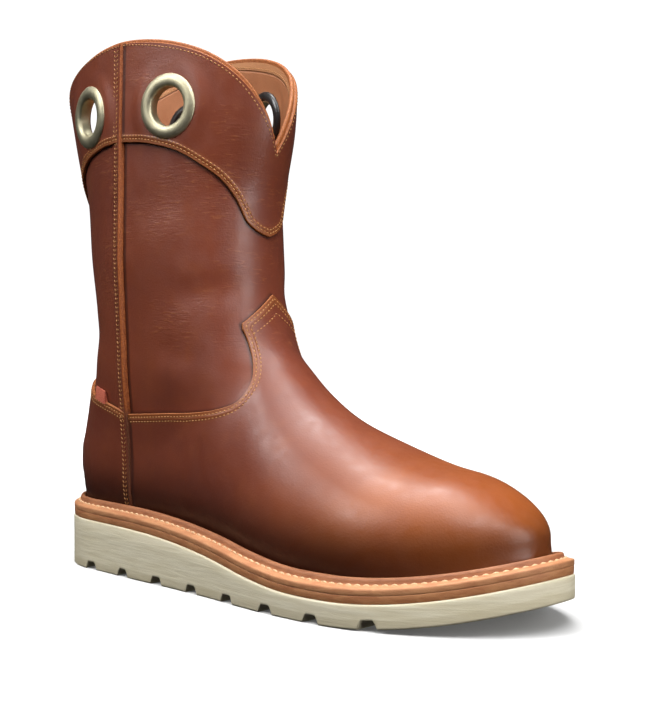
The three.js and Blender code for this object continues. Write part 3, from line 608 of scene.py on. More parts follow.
# Materials, built from a small set of helpers
class Nodes:
    def __init__(self, name):
        self.material = bpy.data.materials.new(name)
        self.material.use_nodes = True
        self.tree = self.material.node_tree
        self.shader = self.tree.nodes["Principled BSDF"]
        coordinates = self.tree.nodes.new("ShaderNodeTexCoord").outputs["Object"]
        self.place = self.add("VectorMath", {0: coordinates, "Scale": 1000}, "Vector", operation="SCALE")

    def link(self, source, socket):
        if hasattr(source, "node"):
            self.tree.links.new(source, socket)
        else:
            socket.default_value = source

    def add(self, kind, sources, output, **settings):
        node = self.tree.nodes.new("ShaderNode" + kind)
        for key, value in settings.items():
            setattr(node, key, value)
        for key, source in sources.items():
            self.link(source, node.inputs[key])
        return node.outputs[output]

    def math(self, operation, a, b=0.0):
        return self.add("Math", {0: a, 1: b}, "Value", operation=operation)

    def times(self, a, b):
        return self.math("MULTIPLY", a, b)

    def plus(self, a, b):
        return self.math("ADD", a, b)

    def stretched(self, scale):
        return self.add("VectorMath", {0: self.place, 1: scale}, "Vector", operation="MULTIPLY")

    def noise(self, size, detail=3.0, place=None, distortion=0.0):
        sources = {"Vector": place or self.place, "Scale": 1 / size}
        sources |= {"Detail": detail, "Distortion": distortion}
        return self.add("TexNoise", sources, "Fac")

    def cells(self, size):
        sources = {"Vector": self.place, "Scale": 1 / size}
        return self.add("TexVoronoi", sources, "Distance", feature="SMOOTH_F1")

    def ramp(self, value, low, high, to_low=0.0, to_high=1.0):
        sources = {"Value": value, "From Min": low, "From Max": high, "To Min": to_low, "To Max": to_high}
        return self.add("MapRange", sources, "Result", interpolation_type="SMOOTHSTEP")

    def mix(self, share, first, second):
        return self.add("Mix", {"Factor": share, "A": first, "B": second}, "Result", data_type="RGBA")

    def blend(self, value, low, high, first, second):
        return self.mix(self.ramp(value, low, high), first, second)

    def attribute(self, name):
        return self.add("Attribute", {}, "Fac", attribute_name=name)

    def axis(self, name):
        return self.add("SeparateXYZ", {0: self.place}, name)

    def bump(self, height, distance, below=None):
        sources = {"Height": height, "Strength": 1.0, "Distance": distance / 1000}
        if below is not None:
            sources["Normal"] = below
        return self.add("Bump", sources, "Normal")

    def finish(self, colour, roughness, normal=None, **uniform):
        self.link(colour, self.shader.inputs["Base Color"])
        self.link(roughness, self.shader.inputs["Roughness"])
        if normal is not None:
            self.link(normal, self.shader.inputs["Normal"])
        for key, value in uniform.items():
            self.shader.inputs[key.replace("_", " ")].default_value = value
        return self.material


def colour(red, green, blue):
    return (red, green, blue, 1.0)


# Front edge of the side seam's strip, in the frame's millimetres
SEAM_SHADE_PLACE = float(SEAM_PLACE + SHIFT[0] + 2.9)


# Oiled pull-up leather: redder and darker on the shaft, more orange on toe and edges, and nearly black low
# from painted shade by the welt.
# Panels have a worn edge instead of the shade that the upper has beside them
def leather(name, has_edge):
    n = Nodes(name)
    height = n.axis("Z")
    along = n.axis("X")
    cloud = n.noise(46, 4, distortion=0.4)
    red = n.blend(cloud, 0.30, 0.72, colour(0.168, 0.037, 0.019), colour(0.215, 0.049, 0.022))
    orange = n.blend(cloud, 0.30, 0.72, colour(0.300, 0.072, 0.014), colour(0.370, 0.098, 0.017))
    toe = n.times(n.ramp(along, -10, 125), n.ramp(height, 150, 40))
    base = n.mix(toe, red, orange)
    mottle = n.ramp(n.noise(9, 4), 0.45, 0.80, 0.0, 0.16)
    base = n.mix(mottle, base, colour(0.30, 0.085, 0.022))

    # Fine wrinkles lie across in patches, with paler crests
    wrinkle = n.noise(1.5, 4, place=n.stretched((0.22, 0.22, 1.3)), distortion=0.9)
    patch = n.times(n.ramp(n.noise(34, 2), 0.46, 0.62), n.ramp(height, 105, 130))
    crest = n.times(n.ramp(wrinkle, 0.56, 0.70), patch)
    base = n.mix(n.times(crest, 0.45), base, colour(0.38, 0.13, 0.045))

    # Painted shade by the welt, deepest from the heel to the arch
    welt_shade = n.times(n.ramp(n.attribute("seat"), 34, 2), n.ramp(along, 150, 60, 0.66, 1.0))
    base = n.mix(n.times(welt_shade, 0.95), base, colour(0.032, 0.005, 0.001))

    # Shade in the side seam's front edge
    shade = colour(0.030, 0.008, 0.005)
    seam = n.math("ABSOLUTE", n.math("SUBTRACT", along, SEAM_SHADE_PLACE))
    base = n.mix(n.ramp(seam, 1.7, 0.5, 0.0, 0.75), base, shade)

    # Grain in small cells, and the wrinkles' own relief
    grain = n.plus(n.times(n.cells(0.95), 0.20), n.times(n.noise(0.5, 3), 0.18))
    rise = n.plus(grain, n.times(n.times(wrinkle, patch), 0.9))
    normal = n.bump(rise, 0.17)
    if has_edge:
        edge = n.attribute("edge")
        base = n.mix(n.ramp(edge, 6.0, 0.6, 0.0, 0.55), base, colour(0.34, 0.105, 0.024))
        pillow = n.times(n.ramp(edge, 1.3, 2.4), n.ramp(edge, 3.8, 2.7))
        normal = n.bump(pillow, 0.22, below=normal)
    else:
        base = n.mix(n.ramp(n.attribute("beside"), -2.4, -0.2, 0.0, 0.8), base, shade)
    rough = n.ramp(n.noise(6, 3), 0.3, 0.7, 0.36, 0.48)
    return n.finish(base, rough, normal, Specular_IOR_Level=0.5, Coat_Weight=0.10, Coat_Roughness=0.25)


# Cut edge of leather, darker below the foot height if one is given
FOOT_FADE = 4


def raw_edge(name, low, high, foot_height=None):
    n = Nodes(name)
    fibre = n.noise(0.9, 4)
    base = n.blend(fibre, 0.3, 0.7, low, high)
    if foot_height:
        foot = n.ramp(n.axis("Z"), foot_height + FOOT_FADE, foot_height - FOOT_FADE)
        base = n.mix(n.times(foot, 0.85), base, colour(0.085, 0.024, 0.010))
    return n.finish(base, 0.62, n.bump(fibre, 0.18))


# Matt lining with a paler band at the collar and a pressed line under it
def lining_leather(name):
    n = Nodes(name)
    base = n.blend(n.noise(24, 3), 0.3, 0.7, colour(0.37, 0.135, 0.052), colour(0.47, 0.19, 0.08))
    drop = n.attribute("drop")
    base = n.mix(n.ramp(drop, 5.6, 4.6, 0.0, 0.55), base, colour(0.66, 0.33, 0.15))
    groove = n.times(n.ramp(drop, 4.4, 5.0), n.ramp(drop, 6.0, 5.2))
    base = n.mix(n.times(groove, 0.6), base, colour(0.16, 0.055, 0.02))
    normal = n.bump(groove, -0.4, below=n.bump(n.noise(0.7, 3), 0.12))
    return n.finish(base, 0.66, normal)


# Waxed leather with streaks along the sole, for welt, bead and midsole
def welt_leather(name, low, high):
    n = Nodes(name)
    streak = n.noise(3.2, 5, place=n.stretched((0.35, 0.35, 1.6)), distortion=0.6)
    speck = n.noise(0.6, 4)
    base = n.blend(streak, 0.32, 0.68, low, high)
    base = n.mix(n.ramp(speck, 0.55, 0.8, 0.0, 0.4), base, colour(0.30, 0.11, 0.045))
    rise = n.plus(n.times(streak, 0.5), n.times(speck, 0.6))
    return n.finish(base, 0.58, n.bump(rise, 0.22))


# Cream rubber with long streaks, duller on the lugs
def cream_rubber(name):
    n = Nodes(name)
    streak = n.noise(2.2, 5, place=n.stretched((0.10, 0.10, 1.5)), distortion=0.5)
    wide = n.noise(5, 4, place=n.stretched((0.12, 0.12, 0.9)), distortion=0.7)
    base = n.blend(streak, 0.3, 0.7, colour(0.74, 0.66, 0.46), colour(0.84, 0.77, 0.58))
    base = n.mix(n.ramp(wide, 0.4, 0.72, 0.0, 0.4), base, colour(0.88, 0.81, 0.63))
    base = n.mix(n.ramp(n.attribute("lug"), 0.6, -0.6, 0.0, 0.4), base, colour(0.60, 0.51, 0.32))
    fine = n.noise(0.5, 3, place=n.stretched((0.4, 0.4, 1.6)))
    rise = n.plus(n.times(streak, 0.7), n.times(fine, 0.3))
    return n.finish(base, 0.66, n.bump(rise, 0.22))


def thread(name, light):
    n = Nodes(name)
    twist = n.noise(0.35, 2)
    dark = colour(*(0.72 * part for part in light[:3]))
    return n.finish(n.blend(twist, 0.3, 0.7, dark, light), 0.6, n.bump(twist, 0.08))


def metal(name, low, high, roughness):
    n = Nodes(name)
    base = n.blend(n.noise(5, 3), 0.3, 0.7, low, high)
    rough = n.ramp(n.noise(2.5, 2), 0.3, 0.7, roughness - 0.03, roughness + 0.04)
    return n.finish(base, rough, n.bump(n.noise(1.5, 2), 0.01), Metallic=1.0)


def black_metal(name):
    n = Nodes(name)
    rough = n.ramp(n.noise(1.2, 3), 0.3, 0.7, 0.28, 0.42)
    base = n.blend(n.noise(3, 3), 0.3, 0.7, colour(0.010, 0.009, 0.009), colour(0.022, 0.019, 0.018))
    return n.finish(base, rough, Coat_Weight=0.4, Coat_Roughness=0.15)


def tab_leather(name):
    n = Nodes(name)
    weave = n.noise(0.5, 3)
    base = n.blend(weave, 0.3, 0.7, colour(0.48, 0.095, 0.055), colour(0.64, 0.17, 0.10))
    return n.finish(base, 0.62, n.bump(weave, 0.1))


LEATHER = leather("leather", False)
PANEL_LEATHER = leather("leather_panel", True)
RAW_EDGE = raw_edge("raw_edge", colour(0.28, 0.078, 0.018), colour(0.44, 0.145, 0.036))
CORD = raw_edge("cord", colour(0.27, 0.058, 0.009), colour(0.40, 0.105, 0.017), foot_height=86)
LINING = lining_leather("lining")
WELT = welt_leather("welt", colour(0.49, 0.20, 0.085), colour(0.61, 0.285, 0.13))
BEAD = welt_leather("bead", colour(0.30, 0.105, 0.042), colour(0.40, 0.155, 0.065))
MIDSOLE = welt_leather("midsole", colour(0.41, 0.155, 0.06), colour(0.52, 0.23, 0.095))
OUTSOLE = cream_rubber("outsole")
THREAD = thread("thread", colour(0.60, 0.28, 0.09))
WELT_THREAD = thread("welt_thread", colour(0.84, 0.55, 0.31))
GROMMET = metal("grommet", colour(0.47, 0.43, 0.29), colour(0.55, 0.51, 0.36), 0.50)
WASHER = black_metal("washer")
TAB = tab_leather("tab")


# Quads of a grid of points, row after row; columns and rows can close to a ring
def grid_quads(rows, columns, is_round=True, is_looped=False):
    row, column = np.meshgrid(np.arange(rows if is_looped else rows - 1),
                              np.arange(columns if is_round else columns - 1), indexing="ij")
    here = row * columns
    after = (row + 1) % rows * columns
    beside = (column + 1) % columns
    quads = np.stack([here + column, here + beside, after + beside, after + column], axis=-1)
    return quads.reshape(-1, 4)


def grid_triangles(rows, columns):
    quads = grid_quads(rows, columns)
    return np.vstack([quads[:, [0, 1, 2]], quads[:, [0, 2, 3]]])


BASE, OUTWARD = boot_surface()
LEVEL_COUNT = BASE.shape[0]
UPPER_DEPTH = OVERLAY + GAP
BARREL_RADIUS = HOLE_DIAMETER / 2 + BARREL_WALL


# Frame of a pull hole: its middle and its directions across, up and outwards
def pull_hole(x, side):
    point = beside_axis(x, side, np.array([PULL_HOLE_HEIGHT]))[0]
    out = outward_at(point)
    across = unit(np.cross([0, 0, 1], out))
    return {"middle": point, "across": across, "up": np.cross(out, across), "out": out}


PULL_HOLES = {
    "outer_front": pull_hole(FRONT_PULL_HOLE, -1),
    "outer_rear": pull_hole(REAR_PULL_HOLE, -1),
    "inner_front": pull_hole(FRONT_PULL_HOLE, 1),
    "inner_rear": pull_hole(REAR_PULL_HOLE, 1),
}

# The wall is pressed flat within a radius round each grommet, and drilled where its plane is near
PRESS_RADIUS = 26
PRESS_SPAN = 9
PRESS_REACH = 15
DRILL_REACH = 20
DRILL_FREE = 30


# Height of points over a pull hole's plane and their distance from its axis
def hole_places(points, hole):
    away = points - hole["middle"]
    height = away @ hole["out"]
    return height, np.linalg.norm(away - height[..., None] * hole["out"], axis=-1)


def press_flat(points):
    pressed = points.copy()
    for hole in PULL_HOLES.values():
        height, radius = hole_places(points, hole)
        share = smooth((PRESS_RADIUS - radius) / PRESS_SPAN) * (np.abs(height) < PRESS_REACH)
        pressed -= (share * height)[..., None] * hole["out"]
    return pressed


def drill(data, faces):
    for hole in PULL_HOLES.values():
        height, radius = hole_places(data[:, :3], hole)
        value = np.where(np.abs(height) < DRILL_REACH, radius - BARREL_RADIUS - GAP, DRILL_FREE)
        data, faces, _ = clip(data, faces, value)
    return data, faces


# Directions at right angles to a grid that closes round its columns, facing the way of the guide
def grid_outward(points, guide):
    across = np.roll(points, -1, axis=1) - np.roll(points, 1, axis=1)
    upwards = np.gradient(points, axis=0)
    normal = unit(np.cross(across, upwards))
    facing = np.sign((normal * guide).sum(-1, keepdims=True))
    return normal * np.where(facing == 0, 1, facing)


SURFACE = press_flat(BASE + relief_at(BASE)[..., None] * OUTWARD)
SHADING = grid_outward(SURFACE, OUTWARD)


# An overlay from its edge: whether it lies in front of the side seam, whether it runs up past the collar
# and is drilled or else down past the welt, and the distances of its stitch rows from the edge
def overlay_plan(edge, is_front, is_high, rows):
    measure = overlay_measure(BASE.reshape(-1, 3), edge, HIGH_LEVEL if is_high else LOW_LEVEL)
    return {"measure": measure, "is_front": is_front, "is_drilled": is_high, "rows": rows}


LOW_LEVEL = -40
HIGH_LEVEL = 400
OVERLAYS = {
    "vamp": overlay_plan(VAMP_EDGE, True, False, (1.4, 3.7)),
    "counter": overlay_plan(COUNTER_EDGE, False, False, (1.4, 3.5)),
    "yoke_front": overlay_plan(YOKE_FRONT_EDGE, True, True, (1.3, 3.0)),
    "yoke_back": overlay_plan(YOKE_BACK_EDGE, False, True, (1.3, 3.0)),
}


def seat_height(points):
    return points[:, 2] - feather_at(points[:, 0])


# Distance down from the collar along each column of the surface
STEPS_DOWN = np.linalg.norm(np.diff(SURFACE, axis=0), axis=-1)[::-1]
DROP = np.vstack([np.zeros((1, COLUMNS)), np.cumsum(STEPS_DOWN, axis=0)])[::-1]

# Rim round the collar, and where the upper's shade beside the overlays is left out
FAR_BESIDE = -50
RIM_SPREAD = 3
RIM_STEPS = 9
RIM_BULGE = 0.9
RIM_DROP = 2.5
SHADE_FREE_DROP = 9


# Upper: leather outside, a rounded raw rim round the collar and lining inside, drilled at the pull holes
def make_upper():
    beside = np.max([overlay["measure"] for overlay in OVERLAYS.values()], axis=0)
    beside = beside.reshape(LEVEL_COUNT, COLUMNS)
    top = SURFACE[-1]
    out = OUTWARD[-1]
    along = sum(np.roll(top, -k, axis=0) - np.roll(top, k, axis=0) for k in range(1, RIM_SPREAD + 1))
    beyond = unit(np.cross(unit(along), out))
    beyond *= np.sign(beyond[:, 2:])
    rim = []
    rim_normals = []
    for turn in np.linspace(0, np.pi, RIM_STEPS):
        depth = UPPER_DEPTH + WALL / 2 * (1 - math.cos(turn))
        rim.append(top - depth * out + (LINING_RISE + RIM_BULGE * math.sin(turn)) * beyond)
        rim_normals.append(out * math.cos(turn) + beyond * math.sin(turn))
    outer_rows = LEVEL_COUNT + RIM_STEPS
    lining = (SURFACE - (UPPER_DEPTH + WALL) * OUTWARD)[::-1]
    points = np.vstack([SURFACE - UPPER_DEPTH * OUTWARD, rim, lining])
    normals = np.vstack([SHADING, rim_normals, -SHADING[::-1]])
    drops = np.vstack([DROP, np.zeros((RIM_STEPS, COLUMNS)), DROP[::-1]])
    besides = np.full(drops.shape, float(FAR_BESIDE))
    besides[:LEVEL_COUNT] = np.where(DROP < SHADE_FREE_DROP, FAR_BESIDE, beside)
    row_numbers = np.repeat(np.arange(len(points)), COLUMNS)
    data = np.hstack([points.reshape(-1, 3), normals.reshape(-1, 3),
                      np.stack([row_numbers, besides.ravel(), drops.ravel()], 1)])
    data, faces = compact(*drill(data, grid_triangles(len(points), COLUMNS)))
    row = data[faces, 6].mean(1)
    is_rim = (row < outer_rows) & (data[faces, 8].mean(1) < RIM_DROP)
    kinds = np.where(is_rim, 1, np.where(row < outer_rows, 0, 2))
    values = {"seat": seat_height(data[:, :3]), "beside": data[:, 7], "drop": data[:, 8]}
    materials = [LEATHER, RAW_EDGE, LINING]
    piece = make_mesh("upper_leather", data[:, :3], faces, materials, kinds, data[:, 3:6], values)
    return place_piece(piece, "leather", "upper")


# Columns of the skin: place, shading direction, outward direction and drop; an overlay adds its edge
SKIN = np.hstack([part.reshape(-1, 3) for part in (SURFACE, SHADING, OUTWARD)] + [DROP.reshape(-1, 1)])
DROP_COLUMN = SKIN.shape[1] - 1
EDGE_COLUMN = DROP_COLUMN + 1
SKIN_FACES = grid_triangles(LEVEL_COUNT, COLUMNS)
SLOT = PIPING_WIDTH / 2 - 1
ROW_END = 1.5
COLLAR_ROW = 1.7
INNER_COLLAR_ROW = 3.4

# Cross-section of a raw edge from the top face inwards: depth and how far it stands out, in mm
EDGE_PROFILE = [(0.12, 0.16), (0.45, 0.34), (1.0, 0.40), (1.5, 0.30), (1.8, 0.05)]
EDGE_OUT_START = 0.6
EDGE_UP_START = 0.7


# Rings of points that carry the rim of an open mesh round a raw edge: places, directions and quads
def rounded_edge(data, rims):
    rim_points = np.unique(rims)
    rims = np.searchsorted(rim_points, rims)
    side = data[rim_points[rims[:, 1]], :3] - data[rim_points[rims[:, 0]], :3]
    step = np.zeros((len(rim_points), 3))
    np.add.at(step, rims[:, 0], side)
    np.add.at(step, rims[:, 1], side)
    face_out = data[rim_points, 6:9]
    outwards = unit(np.cross(unit(step), face_out))
    before = rim_points
    points = []
    normals = []
    quads = []
    for ring, (depth, stand) in enumerate(EDGE_PROFILE):
        points.append(data[rim_points, :3] - depth * face_out + stand * outwards)
        share = ring / (len(EDGE_PROFILE) - 1)
        aside = EDGE_OUT_START + (1 - EDGE_OUT_START) * share
        normals.append(unit(outwards * aside + face_out * (EDGE_UP_START - share)))
        ids = len(data) + ring * len(rim_points) + np.arange(len(rim_points))
        a, b = rims.T
        quads += np.stack([before[b], before[a], ids[a], ids[b]], 1).tolist()
        before = ids
    return points, normals, quads


# One overlay: a piece of the skin with rounded raw edges, and the lines that its stitches follow
def make_overlay(node, measure, is_front, is_drilled, rows):
    data = np.hstack([SKIN, measure[:, None]])
    data, faces, _ = clip(data, SKIN_FACES, data[:, EDGE_COLUMN])
    sign = 1 if is_front else -1
    data, faces, _ = clip(data, faces, sign * (data[:, 0] - SEAM_PLACE) - SLOT)
    if is_drilled:
        data, faces = drill(data, faces)
    data, faces = compact(data, faces)
    stitch_lines = []
    for distance in rows:
        from_seam = sign * (data[:, 0] - SEAM_PLACE) - SLOT - ROW_END
        inner_data, inner_faces, _ = clip(data, faces, from_seam)
        stitch_lines += contour(inner_data, inner_faces, inner_data[:, EDGE_COLUMN] - distance)
    if is_drilled:
        stitch_lines += contour(data, faces, COLLAR_ROW - data[:, DROP_COLUMN])
    edge_points, edge_normals, quads = rounded_edge(data, open_rims(faces))
    points = np.vstack([data[:, :3], *edge_points])
    normals = np.vstack([data[:, 3:6], *edge_normals])
    edge = np.zeros(len(points))
    edge[:len(data)] = data[:, EDGE_COLUMN]
    kinds = [0] * len(faces) + [1] * len(quads)
    values = {"seat": seat_height(points), "edge": edge}
    materials = [PANEL_LEATHER, RAW_EDGE]
    piece = make_mesh(node + "_panel", points, faces.tolist() + quads, materials, kinds, normals, values)
    place_piece(piece, "leather", node)
    return stitch_lines


# Cross-sections of a stitch along its length: place, width and rise as shares
STITCH_RINGS = [
    (-0.5, 0.35, -0.9), (-0.3, 0.85, -0.1), (0.0, 1.0, 0.15), (0.3, 0.85, -0.1), (0.5, 0.35, -0.9),
]
STITCH_SIDES = 6
STITCH_FLATNESS = 0.8
STITCH_SINK = 0.1
STITCH_AIM = 0.4


# Length along a line at each of its points
def line_places(line):
    return np.concatenate([[0], np.cumsum(np.linalg.norm(np.diff(line[:, :3], axis=0), axis=1))])


# Rods of one row of stitches, evenly spread along its line and leaning across it by an angle
def stitch_row(line, pitch, length, radius, lean):
    at = line_places(line)
    count = int(at[-1] / pitch)
    middles = (np.arange(count) + 0.5) * at[-1] / count

    def along_line(where, first):
        return np.stack([np.interp(where, at, line[:, first + k]) for k in range(3)], 1)

    spot = along_line(middles, 0)
    out = unit(along_line(middles, 3))
    aim = STITCH_AIM * pitch
    forward = unit(along_line(middles + aim, 0) - along_line(middles - aim, 0))
    aside = unit(np.cross(out, forward))
    forward = unit(forward * math.cos(lean) + aside * math.sin(lean))
    aside = unit(np.cross(out, forward))
    rods = []
    for place, width, rise in STITCH_RINGS:
        for turn in 2 * np.pi * np.arange(STITCH_SIDES) / STITCH_SIDES:
            lift = radius * (STITCH_FLATNESS * width * math.sin(turn) + rise - STITCH_SINK)
            across = radius * width * math.cos(turn)
            rods.append(spot + forward * place * length + aside * across + out * lift)
    return np.stack(rods, axis=1)


# Stitches: small rounded rods in one mesh, dipping into the leather at both ends
def make_stitches(name, lines, slot, material, pitch=2.3, length=1.75, radius=0.33, lean=0.0):
    longer = [line for line in lines if line_places(line)[-1] >= 2 * pitch]
    rods = np.vstack([stitch_row(line, pitch, length, radius, lean) for line in longer])
    size = len(STITCH_RINGS) * STITCH_SIDES
    starts = size * np.arange(len(rods))[:, None]
    sides = np.arange(STITCH_SIDES)
    quads = starts[:, :, None] + grid_quads(len(STITCH_RINGS), STITCH_SIDES)
    faces = quads.reshape(-1, 4).tolist()
    faces += (starts + sides[::-1]).tolist()
    faces += (starts + size - STITCH_SIDES + sides).tolist()
    return place_piece(make_mesh(name, rods.reshape(-1, 3), faces, [material]), slot)


# Row of stitches inside the collar, on the lining
def inner_collar_lines():
    lines = contour(SKIN, SKIN_FACES, INNER_COLLAR_ROW - SKIN[:, DROP_COLUMN])
    for line in lines:
        line[:, :3] -= (UPPER_DEPTH + WALL) * line[:, 6:9]
        line[:, 3:6] *= -1
    return lines


# Third row on the vamp's tongue: a short chevron under the point, with its turn in degrees
CHEVRON_HEIGHT = 137.5
CHEVRON_DROP = 10.5
CHEVRON_TURN = 13.5
CHEVRON_POINTS = 60


def chevron_line():
    turns = np.linspace(-CHEVRON_TURN, CHEVRON_TURN, CHEVRON_POINTS)
    heights = CHEVRON_HEIGHT - CHEVRON_DROP * np.abs(turns) / CHEVRON_TURN
    return np.hstack(creased(around_seam(turns, heights)))


# Line up the creased surface at one place along the boot
def seam_line(x, side, low, high):
    return creased(beside_axis(x, side, np.linspace(low, high, STRIP_POINTS)))


# Seam strip across: place from the seam and height over the overlays. Its back slopes down to the shaft,
# its front ends in a raw edge
STRIP_PROFILE = {
    "at": [-9.0, -7.0, -4.5, -2.6, -1.0, -0.2, 0.5, 1.1, 1.45, 1.6],
    "out": [-1.85, -1.25, -0.72, -0.25, 0.3, 0.85, 1.05, 0.85, 0.3, -1.9],
}
STRIP_RAW_FROM = 6
STRIP_POINTS = 160
STRIP_START = 0.5
STRIP_ROWS = (-2.9, -5.0)
STRIP_ROW_START = 1
STRIP_ROW_END = 2
STRIP_STITCH = 2.3
STRIP_LEAN = 0.7


# How far the strip's back slope stands over the overlays, which it doesn't sink into
def strip_height(offset, height):
    up = height / COLLAR_HEIGHT
    is_overlaid = (up < COUNTER_EDGE["up"][0]) | (up > YOKE_BACK_EDGE["up"][0])
    sloped = np.interp(offset, STRIP_PROFILE["at"], STRIP_PROFILE["out"])
    return np.where(is_overlaid, max(sloped, 0), sloped)


# Seam strip with its raw front edge, from the welt to the collar; it gives the lines of its stitches
def make_piping(side, name):
    low = feather_at(SEAM_PLACE) + STRIP_START
    turn = math.acos((SEAM_PLACE / SOLE_LENGTH - LEVEL_TABLE["middle"][-1]) / LEVEL_TABLE["reach"][-1])
    high = float(collar_at(np.array(turn))) - COLLAR_TRIM
    rows = []
    for at, out in zip(STRIP_PROFILE["at"], STRIP_PROFILE["out"]):
        points, outs = seam_line(SEAM_PLACE + at, side, low, high)
        rows.append(points + out * outs)
    points = np.vstack(rows)
    faces = grid_quads(len(rows), STRIP_POINTS, is_round=False)
    if side < 0:
        faces = faces[:, [0, 3, 2, 1]]
    kinds = np.repeat(np.arange(len(rows) - 1) >= STRIP_RAW_FROM, STRIP_POINTS - 1)
    values = {"seat": seat_height(points), "beside": np.full(len(points), FAR_BESIDE)}
    piece = make_mesh(name + "_cord", points, faces, [LEATHER, CORD], kinds, None, values)
    place_piece(piece, "edge_leather", name)
    lines = []
    for offset in STRIP_ROWS:
        line, outs = seam_line(SEAM_PLACE + offset, side, low + STRIP_ROW_START, high - STRIP_ROW_END)
        rise = strip_height(offset, line[:, 2])
        lines.append(np.hstack([line + rise[:, None] * outs, outs]))
    return lines


# Shares along the sole where its rings have points, crowded at both ends and at the grooves
SOLE_STATIONS = 121
LEAST_STATION_GAP = 4e-4
GROOVE_STATIONS = (1, 0.85, 0.7, 0.55, 0.35, 0)
GROOVE_MARGIN = 0.4


def sole_shares():
    shares = list((1 - np.cos(np.linspace(0, np.pi, SOLE_STATIONS))) / 2)
    half = GROOVE_MOUTH_WIDTH / 2
    for i in range(GROOVE_COUNT):
        middle = FIRST_GROOVE + i * GROOVE_PITCH
        for offset in [half + GROOVE_MARGIN] + [half * station for station in GROOVE_STATIONS]:
            shares += [(middle - offset) / SOLE_LENGTH, (middle + offset) / SOLE_LENGTH]
    shares = np.unique(np.round(shares, 5))
    return shares[np.concatenate([[True], np.diff(shares) > LEAST_STATION_GAP])]


SHARES = sole_shares()


# Closed line round the sole's outline, set in from it, at a height and a lift over that
def sole_ring(inset, height_at, lift=0):
    start = float(inset_at(0.0, inset))
    x = start + (SOLE_LENGTH - inset - start) * SHARES
    half = half_width_at(x, inset)
    half[0] = 0
    half[-1] = 0
    height = height_at(x) + lift
    outer = np.stack([x, centre_at(x) - half, height], 1)
    inner = np.stack([x, centre_at(x) + half, height], 1)
    return np.vstack([outer, inner[-2:0:-1]])


# Faces that close a ring, in strips across the sole
def lid_faces(first, size, is_up):
    faces = []
    for i in range(size // 2):
        quad = [first + i, first + i + 1, first + (size - i - 1) % size, first + (size - i) % size]
        quad = list(dict.fromkeys(quad))
        faces.append(quad if is_up else quad[::-1])
    return faces


# A layer of the sole from its rings, bottom first; an open one has no lids
def make_stack(node, rings, materials, slot, kinds=None, is_open=False, values_at=None):
    loops = [sole_ring(*ring) for ring in rings]
    size = len(loops[0])
    faces = grid_quads(len(loops), size).tolist()
    if not is_open:
        faces += lid_faces(0, size, False) + lid_faces((len(loops) - 1) * size, size, True)
    points = np.vstack(loops)
    face_kinds = None if kinds is None else np.repeat(kinds, size)
    values = values_at(points) if values_at else None
    piece = make_mesh(node + "_form", points, faces, materials, face_kinds, None, values)
    return place_piece(piece, slot, node)


GROOVE_ROUND = 1.7


# Underside with its cross grooves
def bottom_at(x):
    rise = np.zeros_like(x)
    slope = (GROOVE_MOUTH_WIDTH - GROOVE_FLOOR_WIDTH) / 2
    for i in range(GROOVE_COUNT):
        away = np.abs(x - FIRST_GROOVE - i * GROOVE_PITCH)
        t = np.clip((GROOVE_MOUTH_WIDTH / 2 - away) / slope, 0, 1)
        rise = np.maximum(rise, GROOVE_DEPTH * (1 - (1 - t) ** GROOVE_ROUND))
    return spring_at(x) + rise


def sharpen(piece, degrees):
    piece.data.set_sharp_from_angle(angle=math.radians(degrees))


# Rings of the sole's layers: inset from its outline, the height that they follow and the lift over it
OUTSOLE_EDGE = [(1.5, bottom_at, 0), (0.5, bottom_at, 0.12), (0.1, bottom_at, 0.5), (0, bottom_at, 1.1)]
OUTSOLE_TOP = [(0.15, wedge_top_at, -0.45), (0.5, wedge_top_at, -0.1), (1, wedge_top_at, 0)]
OUTSOLE_WALL_SHARES = (0, 0.33, 0.66, 1)
OUTSOLE_WALL_LOW = GROOVE_DEPTH + 1.6
OUTSOLE_WALL_TOP = 0.9
LUG_HEIGHT = GROOVE_DEPTH + 0.6
OUTSOLE_SHARP = 38


def make_outsole():
    def wall(share):
        def height_at(x):
            low = spring_at(x) + OUTSOLE_WALL_LOW
            return low + (wedge_top_at(x) - low - OUTSOLE_WALL_TOP) * share

        return height_at

    def values_at(points):
        return {"lug": points[:, 2] - spring_at(points[:, 0]) - LUG_HEIGHT}

    rings = OUTSOLE_EDGE + [(0, wall(share)) for share in OUTSOLE_WALL_SHARES] + OUTSOLE_TOP
    piece = make_stack("outsole", rings, [OUTSOLE], "outsole", values_at=values_at)
    sharpen(piece, OUTSOLE_SHARP)


MIDSOLE_RINGS = [
    (1.2, wedge_top_at, 0.05), (0.75, wedge_top_at, 0.15), (0.6, wedge_top_at, 0.45),
    (0.5, wedge_top_at, 1.5), (0.42, midsole_top_at, GAP - 0.35), (0.5, midsole_top_at, GAP - 0.1),
    (0.8, midsole_top_at, GAP - 0.05),
]
BEAD_FOOT = WELT_WIDTH - BEAD_WIDTH - BEAD_CLEARANCE
BEAD_STEPS = 10
BEAD_ROUND = 0.9
BEAD_TUCK = 0.4
WELT_INNER = WELT_WIDTH + 8
STITCH_INSET = BEAD_FOOT - 0.9
STITCH_RISE = 0.8 * WELT_RISE
STITCHES_SKIP_PART = 40

# The welt's edge, and its flange up to the bead with the pressed channel that the stitches lie in
WELT_RINGS = [
    (0.75, midsole_top_at, GAP), (0.5, midsole_top_at, GAP + 0.1), (0.4, midsole_top_at, GAP + 0.35),
    (0.35, welt_edge_at, -0.9), (0.5, welt_edge_at, -0.3), (0.95, welt_edge_at, 0),
    (2.2, welt_edge_at, 0.3 * WELT_RISE), (3.2, welt_edge_at, 0.58 * WELT_RISE),
    (3.6, welt_edge_at, 0.66 * WELT_RISE - 0.25), (STITCH_INSET, welt_edge_at, STITCH_RISE - 0.75),
    (BEAD_FOOT - 0.25, welt_edge_at, 0.95 * WELT_RISE - 0.7),
]


